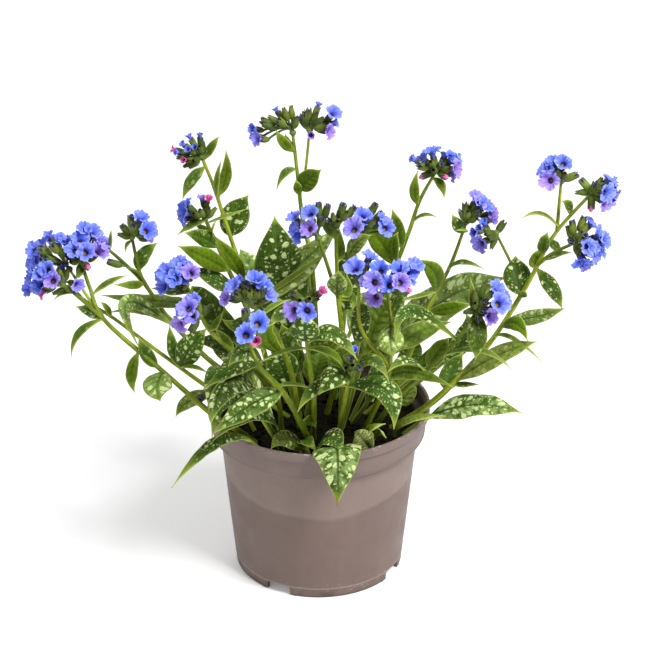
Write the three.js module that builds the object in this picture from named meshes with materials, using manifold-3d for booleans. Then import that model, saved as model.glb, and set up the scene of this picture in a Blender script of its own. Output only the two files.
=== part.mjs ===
// Potted lungwort: a thin plastic nursery pot filled with soil, with seventeen
// flowering stems and a crown of spotted leaves.
// Millimetres, +Z up, the pot stands on z = 0 with its axis on the Z axis, and
// the front of the plant faces -Y.

import * as THREE from 'three';
import { mergeVertices } from 'three/addons/utils/BufferGeometryUtils.js';
import Module from 'manifold-3d';

const wasm = await Module();
wasm.setup();

// Pot
const POT_HEIGHT = 119;
const RIM_RADIUS = 75;
const LIP_HEIGHT = 6;
const COLLAR_HEIGHT = 20;
const COLLAR_TOP_RADIUS = 73.2;
const COLLAR_FOOT_RADIUS = 71.8;
const WALL_TOP_RADIUS = 67;
const BASE_RADIUS = 57.7;
const WALL = 1.8;
const SHOULDER_DEPTH = 10;
const FOOT_RING_HEIGHT = 7;
const FOOT_RING_WIDTH = 3.6;
const FLOOR = 1.8;
const NOTCH_WIDTH = 17.4;
const NOTCH_HEIGHT = 6.6;
const NOTCH_ANGLES = [-28.5, 61.5, 151.5, 241.5];
const DRAIN_RADIUS = 5;
const DRAIN_RING_RADIUS = 44;
const POT_SIDES = 32;

// Soil
const SOIL_TOP = 107;
const SOIL_DOME = 1.5;
const SOIL_SIDES = 32;

// Gap between the soil or the rim and what touches them, the swelling of each
// piece when it is cut from a later one, and the size below which an edge that
// a join or a cut leaves is smoothed away.
const GAP = 0.3;
const SWELL = 0.42;
const FINEST = 0.15;

// Plant
const LEAF_THICKNESS = 1.2;
const STEM_SIDES = 5;
const PETIOLE_WIDTH = 3;
const PETIOLE_THICKNESS = 2.6;
const TIP_WIDTH = 1.2;
const FLOWER_LENGTH = 16;
const FLOWER_RADIUS = 7;
const CALYX_RADIUS = 2.4;
const HUB_RADIUS = 3;
const STALK_RADIUS = 0.7;

// Stems: name, points from the soil to the tip, diameter at foot and at tip.
const STEMS = [
  ["low_left", [[-36, -30, 98], [-52, -41, 118], [-69, -42, 131], [-103, -30, 158], [-140, -12, 185],
    [-150, 0, 203], [-156, 10, 217]], 4.4, 2.2],
  ["mid_left", [[-40, -16, 98], [-52, -22, 125], [-76, -20, 142], [-106, -8, 160], [-135, 6, 177],
    [-152, 10, 187], [-166, 12, 197]], 3.4, 1.7],
  ["high_left", [[-36, 2, 98], [-53, -6, 134], [-76, 0, 153], [-99, 4, 178], [-115, 10, 201],
    [-128, 12, 215], [-139, 12, 226]], 4, 2],
  ["front_left", [[-24, -18, 98], [-28, -36, 146], [-44, -48, 172], [-56, -52, 183], [-70, -52, 198],
    [-78, -38, 209], [-85, -20, 214]], 3.4, 1.8],
  ["tall_left", [[-20, 22, 98], [-32, 22, 150], [-50, 35, 195], [-61, 46, 225], [-70, 54, 252],
    [-78, 60, 271]], 4, 2],
  ["inner_left", [[-27, 10, 98], [-38, 12, 155], [-61, 25, 207], [-68, 28, 223],
    [-75, 30, 239]], 4, 2.2],
  ["tall_middle", [[-4, 26, 98], [-2, 25, 160], [-5, 36, 206], [-11, 44, 236], [-14, 47, 264],
    [-17, 50, 292]], 4.4, 2],
  ["inner_middle", [[4, 6, 98], [15, -4, 159], [13, -8, 198], [12, -9, 219], [11, -10, 246]], 4, 2],
  ["tall_right", [[14, 20, 98], [36, 36, 155], [50, 46, 192], [61, 52, 221], [68, 56, 242],
    [79, 60, 262]], 4, 2],
  ["inner_right", [[24, 8, 98], [51, 4, 129], [71, 12, 178], [79, 15, 194], [88, 18, 213],
    [97, 20, 241]], 4, 2],
  ["long_right", [[42, -8, 98], [67, -22, 123], [87, -22, 142], [113, -18, 173], [135, -15, 212],
    [151, -10, 244], [174, -10, 274]], 5, 2],
  ["front_right", [[32, -14, 98], [50, -36, 139], [70, -46, 166], [87, -54, 190], [100, -60, 215]], 4, 2],
  ["near_right", [[25, -27, 98], [43, -48, 156], [46, -56, 183], [46, -60, 201], [43, -65, 229]], 4, 2],
  ["near_left", [[-12, -12, 98], [-17, -38, 156], [-23, -48, 182], [-30, -57, 203],
    [-40, -66, 220]], 4, 2],
  ["thick_front", [[-2, -36, 98], [-15, -68, 147], [-24, -84, 172], [-35, -95, 191],
    [-42, -104, 212]], 4.4, 2.3],
  ["middle_front", [[-4, -24, 98], [-3, -62, 151], [-5, -80, 183], [-7, -94, 211],
    [-7, -100, 238]], 4, 2],
  ["short_front", [[11, -31, 98], [16, -58, 144], [19, -74, 173], [21, -80, 185]], 3.8, 2],
];

// Side shoots: name, the stem they leave, where along it, further points,
// diameter at start and at tip.
const SHOOTS = [
  ["low_left_a", "low_left", 0.67, [[-153, -8, 196], [-167, -2, 206]], 2.5, 1.8],
  ["low_left_b", "low_left", 0.67, [[-151, -3, 197], [-163, 4, 214]], 2.2, 1.7],
  ["high_left_a", "high_left", 0.67, [[-119, 15, 210], [-123, 20, 230]], 2.8, 2],
  ["front_left_a", "front_left", 0.67, [[-71, -56, 204], [-74, -60, 210]], 2.4, 1.8],
  ["tall_middle_a", "tall_middle", 0.7, [[-9, 48, 265], [-6, 50, 294]], 2.1, 1.7],
  ["inner_middle_a", "inner_middle", 0.51, [[7, -12, 220], [0, -14, 244]], 2.9, 2],
  ["inner_middle_b", "inner_middle", 0.48, [[17, -5, 218], [24, -4, 238]], 2.9, 2],
  ["long_right_a", "long_right", 0.85, [[154, -6, 264], [155, -2, 278]], 2.5, 1.8],
  ["long_right_b", "long_right", 0.73, [[150, -18, 235], [163, -22, 244]], 2.8, 2],
  ["long_right_c", "long_right", 0.63, [[127, 2, 216], [116, 10, 237]], 2.2, 1.7],
  ["near_right_a", "near_right", 0.37, [[27, -62, 202], [25, -66, 235]], 2.9, 2],
  ["high_left_b", "high_left", 0.6, [[-118, 9, 209], [-126, 8, 214]], 1.8, 1.5],
  ["mid_left_b", "mid_left", 0.3, [[-72, -24, 142], [-74, -27, 142]], 1.8, 1.5],
];

// Leaves on the stems: the stem or shoot, where along it, a point on the midrib
// at half length, the tip, the width, the way the upper side faces, the kind.
const STEM_LEAVES = [
  ["low_left", 0.49, [-104, -46, 154], [-102, -50, 145], 19, "front", "speckled"],
  ["low_left", 0.51, [-112, -26, 167], [-117, -24, 179], 9, "front", "dark"],
  ["low_left", 0.56, [-122, -30, 155], [-120, -34, 143], 8, "front", "olive"],
  ["low_left", 0.67, [-156, -18, 179], [-162, -20, 162], 6, "tilt", "dark"],
  ["low_left", 0.79, [-138, 4, 205], [-126, 8, 208], 5, "tilt", "dark"],
  ["low_left", 0.67, [-150, -4, 188], [-160, 0, 189], 9, "tilt", "silver"],
  ["low_left", 0.97, [-156, 2, 213], [-159, -2, 210], 5, "front", "dark"],
  ["mid_left", 0.88, [-164, 4, 199], [-174, 0, 194], 6, "tilt", "dark"],
  ["mid_left", 0.69, [-140, 6, 185], [-144, 4, 191], 5, "tilt", "olive"],
  ["mid_left", 0.42, [-82, -22, 156], [-72, -28, 154], 4, "tilt", "olive"],
  ["mid_left", 0.42, [-96, -12, 165], [-98, -6, 179], 8, "front", "dark"],
  ["mid_left", 0.42, [-84, -18, 168], [-73, -16, 181], 17, "front", "spotted"],
  ["mid_left", 0.28, [-85, -26, 133], [-94, -32, 124], 10, "front", "pale"],
  ["high_left", 0.67, [-122, 2, 204], [-134, -2, 206], 6, "front", "olive"],
  ["high_left_a", 0.45, [-116, 18, 218], [-106, 24, 225], 10, "front", "dark"],
  ["high_left", 0.46, [-125, -6, 195], [-117, -20, 168], 11, "front", "speckled"],
  ["high_left", 0.45, [-112, 10, 181], [-142, 16, 177], 8, "tilt", "pale"],
  ["high_left", 0.97, [-136, 10, 233], [-135, 8, 241], 3, "tilt", "dark"],
  ["high_left_a", 0.95, [-126, 16, 227], [-127, 14, 222], 3, "tilt", "dark"],
  ["front_left", 0.92, [-95, -14, 208], [-109, -6, 205], 10, "tilt", "silver"],
  ["front_left", 0.83, [-112, 10, 189], [-147, 30, 184], 13, "tilt", "plain"],
  ["front_left", 0.33, [-46, -66, 184], [-72, -84, 171], 21, "tilt", "spotted"],
  ["front_left", 0.65, [-64, -56, 204], [-60, -56, 211], 6, "tilt", "olive"],
  ["front_left", 0.48, [-59, -46, 187], [-67, -40, 193], 6, "tilt", "olive"],
  ["tall_left", 0.94, [-85, 52, 258], [-91, 48, 246], 8, "front", "dark"],
  ["tall_left", 0.98, [-72, 60, 278], [-66, 62, 286], 6, "front", "dark"],
  ["tall_left", 0.75, [-62, 56, 260], [-62, 60, 277], 8, "front", "olive"],
  ["tall_left", 0.75, [-68, 50, 259], [-64, 48, 275], 4, "front", "dark"],
  ["tall_left", 0.57, [-56, 50, 233], [-47, 54, 247], 20, "front", "spotted"],
  ["tall_left", 0.39, [-58, 30, 211], [-70, 30, 228], 10, "front", "olive"],
  ["tall_left", 0.38, [-42, 22, 201], [-28, 20, 210], 6, "tilt", "olive"],
  ["inner_left", 0.68, [-76, 18, 231], [-88, 14, 236], 11, "front", "dark"],
  ["inner_left", 0.48, [-74, 10, 220], [-92, 4, 231], 13, "front", "olive"],
  ["inner_left", 0.36, [-14, 14, 212], [12, 20, 236], 24, "tilt", "speckled"],
  ["inner_left", 0.36, [-14, 5, 211], [5, 7, 225], 4, "front", "plain"],
  ["inner_left", 0.41, [-69, 16, 202], [-85, 12, 212], 14, "tilt", "spotted"],
  ["inner_left", 0.96, [-61, 26, 243], [-46, 24, 249], 3, "tilt", "pale"],
  ["inner_left", 0.98, [-83, 24, 238], [-93, 22, 231], 6, "tilt", "dark"],
  ["inner_left", 0.84, [-76, 34, 230], [-84, 38, 234], 6, "tilt", "olive"],
  ["inner_left", 0.79, [-70, 20, 235], [-67, 18, 243], 4, "tilt", "olive"],
  ["tall_middle", 0.91, [-23, 46, 287], [-28, 46, 296], 7, "front", "olive"],
  ["tall_middle", 0.91, [-20, 50, 285], [-22, 52, 291], 5, "front", "pale"],
  ["tall_middle", 0.82, [-22, 44, 267], [-28, 42, 255], 6, "tilt", "dark"],
  ["tall_middle", 0.73, [-7, 40, 263], [2, 36, 272], 14, "front", "olive"],
  ["tall_middle", 0.7, [-14, 42, 257], [-15, 40, 263], 6, "front", "olive"],
  ["inner_middle_a", 0.05, [12, -18, 214], [13, -20, 224], 13, "front", "speckled"],
  ["inner_middle_b", 0.1, [19, 0, 201], [18, 4, 212], 7, "front", "olive"],
  ["inner_middle", 0.49, [22, 0, 196], [22, -4, 187], 7, "tilt", "dark"],
  ["inner_middle_b", 0.71, [25, -12, 240], [34, -14, 246], 10, "front", "pale"],
  ["inner_middle", 0.96, [6, -14, 251], [2, -16, 258], 6, "front", "dark"],
  ["inner_middle", 0.81, [14, 2, 229], [13, 8, 244], 7, "front", "olive"],
  ["tall_right", 0.51, [53, 46, 225], [49, 44, 241], 10, "front", "olive"],
  ["tall_right", 0.77, [64, 52, 251], [66, 52, 265], 7, "front", "olive"],
  ["tall_right", 0.95, [82, 54, 254], [84, 50, 246], 6, "front", "olive"],
  ["tall_right", 0.65, [70, 50, 234], [79, 46, 234], 4, "tilt", "dark"],
  ["tall_right", 0.44, [50, 38, 217], [53, 34, 228], 8, "front", "olive"],
  ["tall_right", 0.44, [40, 41, 221], [32, 38, 232], 15, "front", "olive"],
  ["inner_right", 0.75, [94, 10, 217], [109, 4, 214], 5, "tilt", "spotted"],
  ["inner_right", 0.95, [91, 16, 241], [87, 14, 249], 8, "front", "spotted"],
  ["inner_right", 0.58, [76, 4, 212], [63, -2, 224], 12, "front", "olive"],
  ["inner_right", 0.59, [65, 2, 196], [51, -6, 195], 4, "tilt", "dark"],
  ["inner_right", 0.41, [87, 2, 187], [100, -4, 193], 9, "front", "olive"],
  ["inner_right", 0.95, [96, 12, 239], [89, 8, 240], 4, "tilt", "dark"],
  ["long_right", 0.86, [142, -14, 261], [129, -18, 259], 4, "tilt", "dark"],
  ["long_right", 0.77, [144, -18, 242], [146, -20, 251], 8, "front", "dark"],
  ["long_right", 0.82, [152, -16, 239], [156, -18, 237], 6, "front", "dark"],
  ["long_right_b", 0.19, [152, -22, 236], [161, -26, 239], 6, "tilt", "silver"],
  ["long_right", 0.72, [140, -10, 227], [144, -8, 235], 8, "front", "olive"],
  ["long_right_c", 0.03, [129, -6, 215], [128, 0, 226], 18, "front", "spotted"],
  ["long_right", 0.72, [150, -26, 214], [156, -34, 203], 10, "front", "spotted"],
  ["long_right", 0.56, [140, -28, 195], [158, -36, 205], 10, "front", "speckled"],
  ["long_right", 0.63, [132, -22, 208], [133, -24, 212], 6, "front", "dark"],
  ["long_right", 0.54, [127, -34, 193], [134, -42, 184], 10, "front", "olive"],
  ["long_right", 0.35, [114, -34, 169], [140, -44, 185], 17, "tilt", "pale"],
  ["long_right", 0.51, [125, -30, 181], [145, -36, 166], 4, "tilt", "silver"],
  ["long_right", 0.31, [88, -12, 147], [96, -6, 159], 14, "front", "dark"],
  ["long_right", 0.34, [96, -26, 145], [105, -30, 147], 5, "tilt", "spotted"],
  ["long_right", 0.91, [159, -14, 267], [154, -16, 270], 6, "front", "dark"],
  ["front_right", 0.97, [99, -72, 202], [98, -76, 188], 13, "front", "dark"],
  ["front_right", 0.76, [57, -64, 216], [48, -76, 197], 9, "front", "spotted"],
  ["front_right", 0.51, [77, -40, 176], [84, -38, 185], 12, "front", "olive"],
  ["front_right", 0.6, [101, -58, 186], [123, -66, 175], 5, "tilt", "dark"],
  ["front_right", 0.48, [56, -56, 178], [43, -66, 173], 8, "tilt", "silver"],
  ["front_right", 0.84, [102, -50, 196], [108, -46, 198], 6, "front", "silver"],
  ["front_right", 0.97, [97, -56, 220], [95, -54, 234], 6, "front", "dark"],
  ["near_right", 0.78, [45, -74, 199], [47, -80, 192], 17, "front", "speckled"],
  ["near_right", 0.27, [59, -46, 164], [87, -56, 158], 10, "front", "plain"],
  ["near_right", 0.51, [63, -46, 192], [85, -40, 197], 14, "front", "plain"],
  ["near_right", 0.84, [50, -58, 217], [51, -54, 227], 8, "front", "dark"],
  ["near_left", 0.87, [-28, -54, 215], [-17, -50, 217], 4, "tilt", "olive"],
  ["near_left", 0.43, [-32, -56, 193], [-27, -58, 205], 11, "front", "olive"],
  ["near_left", 0.96, [-49, -60, 204], [-61, -56, 207], 10, "front", "dark"],
  ["near_left", 0.76, [-22, -50, 209], [-12, -48, 216], 8, "front", "spotted"],
  ["thick_front", 0.46, [-41, -96, 167], [-66, -104, 150], 18, "tilt", "silver"],
  ["thick_front", 0.51, [-17, -72, 169], [-4, -62, 160], 4, "tilt", "dark"],
  ["thick_front", 0.89, [-46, -100, 205], [-55, -102, 196], 11, "front", "silver"],
  ["thick_front", 0.17, [-5, -50, 131], [-2, -48, 124], 8, "front", "olive"],
  ["thick_front", 0.97, [-34, -98, 208], [-34, -96, 200], 6, "tilt", "olive"],
  ["middle_front", 0.73, [-8, -107, 223], [-7, -106, 235], 18, "front", "spotted"],
  ["middle_front", 0.67, [-20, -92, 202], [-37, -96, 195], 6, "up", "olive"],
  ["middle_front", 0.67, [9, -84, 196], [17, -84, 182], 6, "tilt", "olive"],
  ["middle_front", 0.71, [8, -96, 216], [24, -104, 201], 13, "tilt", "spotted"],
  ["middle_front", 0.73, [-15, -84, 212], [-22, -80, 207], 6, "tilt", "dark"],
  ["short_front", 0.57, [0, -82, 172], [-13, -90, 158], 10, "tilt", "spotted"],
  ["short_front", 0.57, [42, -84, 171], [47, -96, 149], 18, "tilt", "spotted"],
  ["short_front", 0.74, [10, -88, 182], [0, -94, 172], 17, "tilt", "spotted"],
  ["short_front", 0.77, [33, -84, 192], [44, -88, 178], 10, "tilt", "dark"],
];

// Leaves from the crown: name, foot at the soil (x, y), midrib point at half
// length, tip, width, facing, the bare part of the stalk, the kind. Two leaves
// of one name have grown together at the foot.
const CROWN_LEAVES = [
  ["spotted_back", [-10, 36], [-22, 12, 183], [-29, 26, 243], 36, "front", 0.36, "spotted"],
  ["spotted_back", [-10, 36], [-16, 44, 124], [-35, 56, 145], 19, "front", 0.4, "dark"],
  ["back_middle", [10, 30], [18, 14, 183], [21, 26, 222], 17, "tilt", 0.45, "spotted"],
  ["back_middle", [10, 30], [8, 32, 133], [3, 38, 153], 20, "front", 0.4, "plain"],
  ["back_middle", [10, 30], [23, 32, 130], [29, 36, 149], 19, "front", 0.4, "dark"],
  ["back_left", [-24, 42], [-37, 44, 169], [-54, 60, 205], 22, "tilt", 0.5, "speckled"],
  ["back_left", [-24, 42], [-68, 46, 156], [-87, 52, 181], 20, "tilt", 0.35, "dark"],
  ["back_left", [-24, 42], [-43, 50, 117], [-61, 62, 143], 17, "tilt", 0.4, "plain"],
  ["back_left", [-24, 42], [-51, 46, 124], [-76, 54, 134], 17, "tilt", 0.4, "spotted"],
  ["back_left", [-24, 42], [-52, 46, 129], [-65, 50, 167], 14, "front", 0.5, "plain"],
  ["right_fan", [34, 20], [66, 40, 159], [127, 30, 197], 34, "tilt", 0.33, "speckled"],
  ["right_fan", [34, 20], [54, 70, 127], [80, 104, 129], 17, "tilt", 0.4, "plain"],
  ["right_fan", [34, 20], [44, 58, 150], [66, 88, 182], 20, "tilt", 0.4, "spotted"],
  ["right_fan", [34, 20], [74, 24, 136], [106, 34, 150], 18, "tilt", 0.35, "dark"],
  ["right_fan", [34, 20], [91, 26, 142], [99, 26, 172], 14, "front", 0.4, "spotted"],
  ["right_fan", [34, 20], [57, 20, 110], [62, 24, 124], 13, "front", 0.3, "pale"],
  ["right_fan", [34, 20], [58, 30, 131], [67, 38, 147], 15, "front", 0.4, "dark"],
  ["right_fan", [34, 20], [61, 34, 121], [70, 46, 134], 9, "tilt", 0.5, "dry"],
  ["back_fan", [-14, 48], [-32, 66, 150], [-50, 84, 180], 20, "tilt", 0.4, "spotted"],
  ["back_fan", [-14, 48], [-14, 70, 158], [-20, 92, 192], 20, "tilt", 0.4, "spotted"],
  ["back_fan", [-14, 48], [-52, 54, 130], [-88, 58, 136], 17, "tilt", 0.35, "dark"],
  ["inner_pair", [-10, 4], [-3, 0, 144], [1, 6, 172], 15, "front", 0.45, "dark"],
  ["inner_pair", [-10, 4], [-16, 4, 140], [-25, 8, 174], 15, "front", 0.45, "dark"],
  ["inner_pair", [-10, 4], [-22, -8, 142], [-28, -4, 159], 22, "front", 0.4, "spotted"],
  ["inner_pair", [-10, 4], [-2, -8, 141], [2, -4, 158], 20, "front", 0.4, "plain"],
  ["inner_pair", [-10, 4], [-38, -4, 124], [-50, -6, 144], 17, "tilt", 0.4, "olive"],
  ["low_right_pair", [50, -20], [90, -28, 132], [133, -40, 131], 15, "tilt", 0.3, "blotched"],
  ["low_right_pair", [50, -20], [57, -40, 125], [83, -44, 131], 6, "tilt", 0.2, "pale"],
  ["over_rim", [8, -50], [12, -82, 126], [12, -97, 94], 31, "front", 0.1, "blotched"],
  ["rim_pair", [-4, -50], [6, -68, 129], [16, -78, 121], 18, "tilt", 0.05, "spotted"],
  ["rim_pair", [-4, -50], [-19, -52, 118], [-31, -60, 115], 14, "tilt", 0.1, "mossy"],
  ["rim_pair", [-4, -50], [-9, -58, 121], [-1, -67, 117], 11, "tilt", 0.2, "dark"],
  ["low_front_pair", [36, -36], [29, -60, 122], [23, -60, 128], 15, "front", 0.1, "fading"],
  ["low_front_pair", [36, -36], [30, -56, 124], [43, -62, 135], 6, "tilt", 0.3, "olive"],
  ["low_front_pair", [36, -36], [36, -44, 120], [44, -50, 118], 10, "front", 0.2, "pale"],
  ["front_left_pair", [-22, -42], [-50, -66, 170], [-67, -92, 151], 31, "tilt", 0.3, "silver"],
  ["front_left_pair", [-22, -42], [-36, -60, 142], [-67, -84, 134], 14, "tilt", 0.1, "spotted"],
  ["front_left_pair", [-22, -42], [-52, -72, 163], [-67, -86, 138], 24, "front", 0.2, "spotted"],
  ["front_left_pair", [-22, -42], [-44, -60, 163], [-69, -74, 166], 20, "tilt", 0.12, "speckled"],
  ["trailing_left", [-34, -46], [-58, -69, 129], [-93, -94, 106], 9, "tilt", 0.25, "spotted"],
  ["upright_right", [14, -14], [25, -50, 185], [26, -52, 217], 13, "front", 0.5, "spotted"],
  ["upright_right", [14, -14], [34, -20, 176], [47, -22, 203], 22, "front", 0.4, "plain"],
  ["upright_right", [14, -14], [15, -18, 147], [13, -16, 168], 17, "front", 0.4, "plain"],
  ["upright_pale", [18, -4], [37, -40, 152], [37, -42, 179], 13, "front", 0.3, "silver"],
  ["upright_pale", [18, -4], [40, -8, 160], [42, -2, 183], 20, "front", 0.4, "dark"],
  ["rear_pair", [0, 49], [-28, 84, 132], [-37, 124, 137], 18, "tilt", 0.4, "spotted"],
  ["rear_pair", [0, 49], [26, 90, 137], [32, 122, 144], 18, "tilt", 0.4, "speckled"],
];

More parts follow.
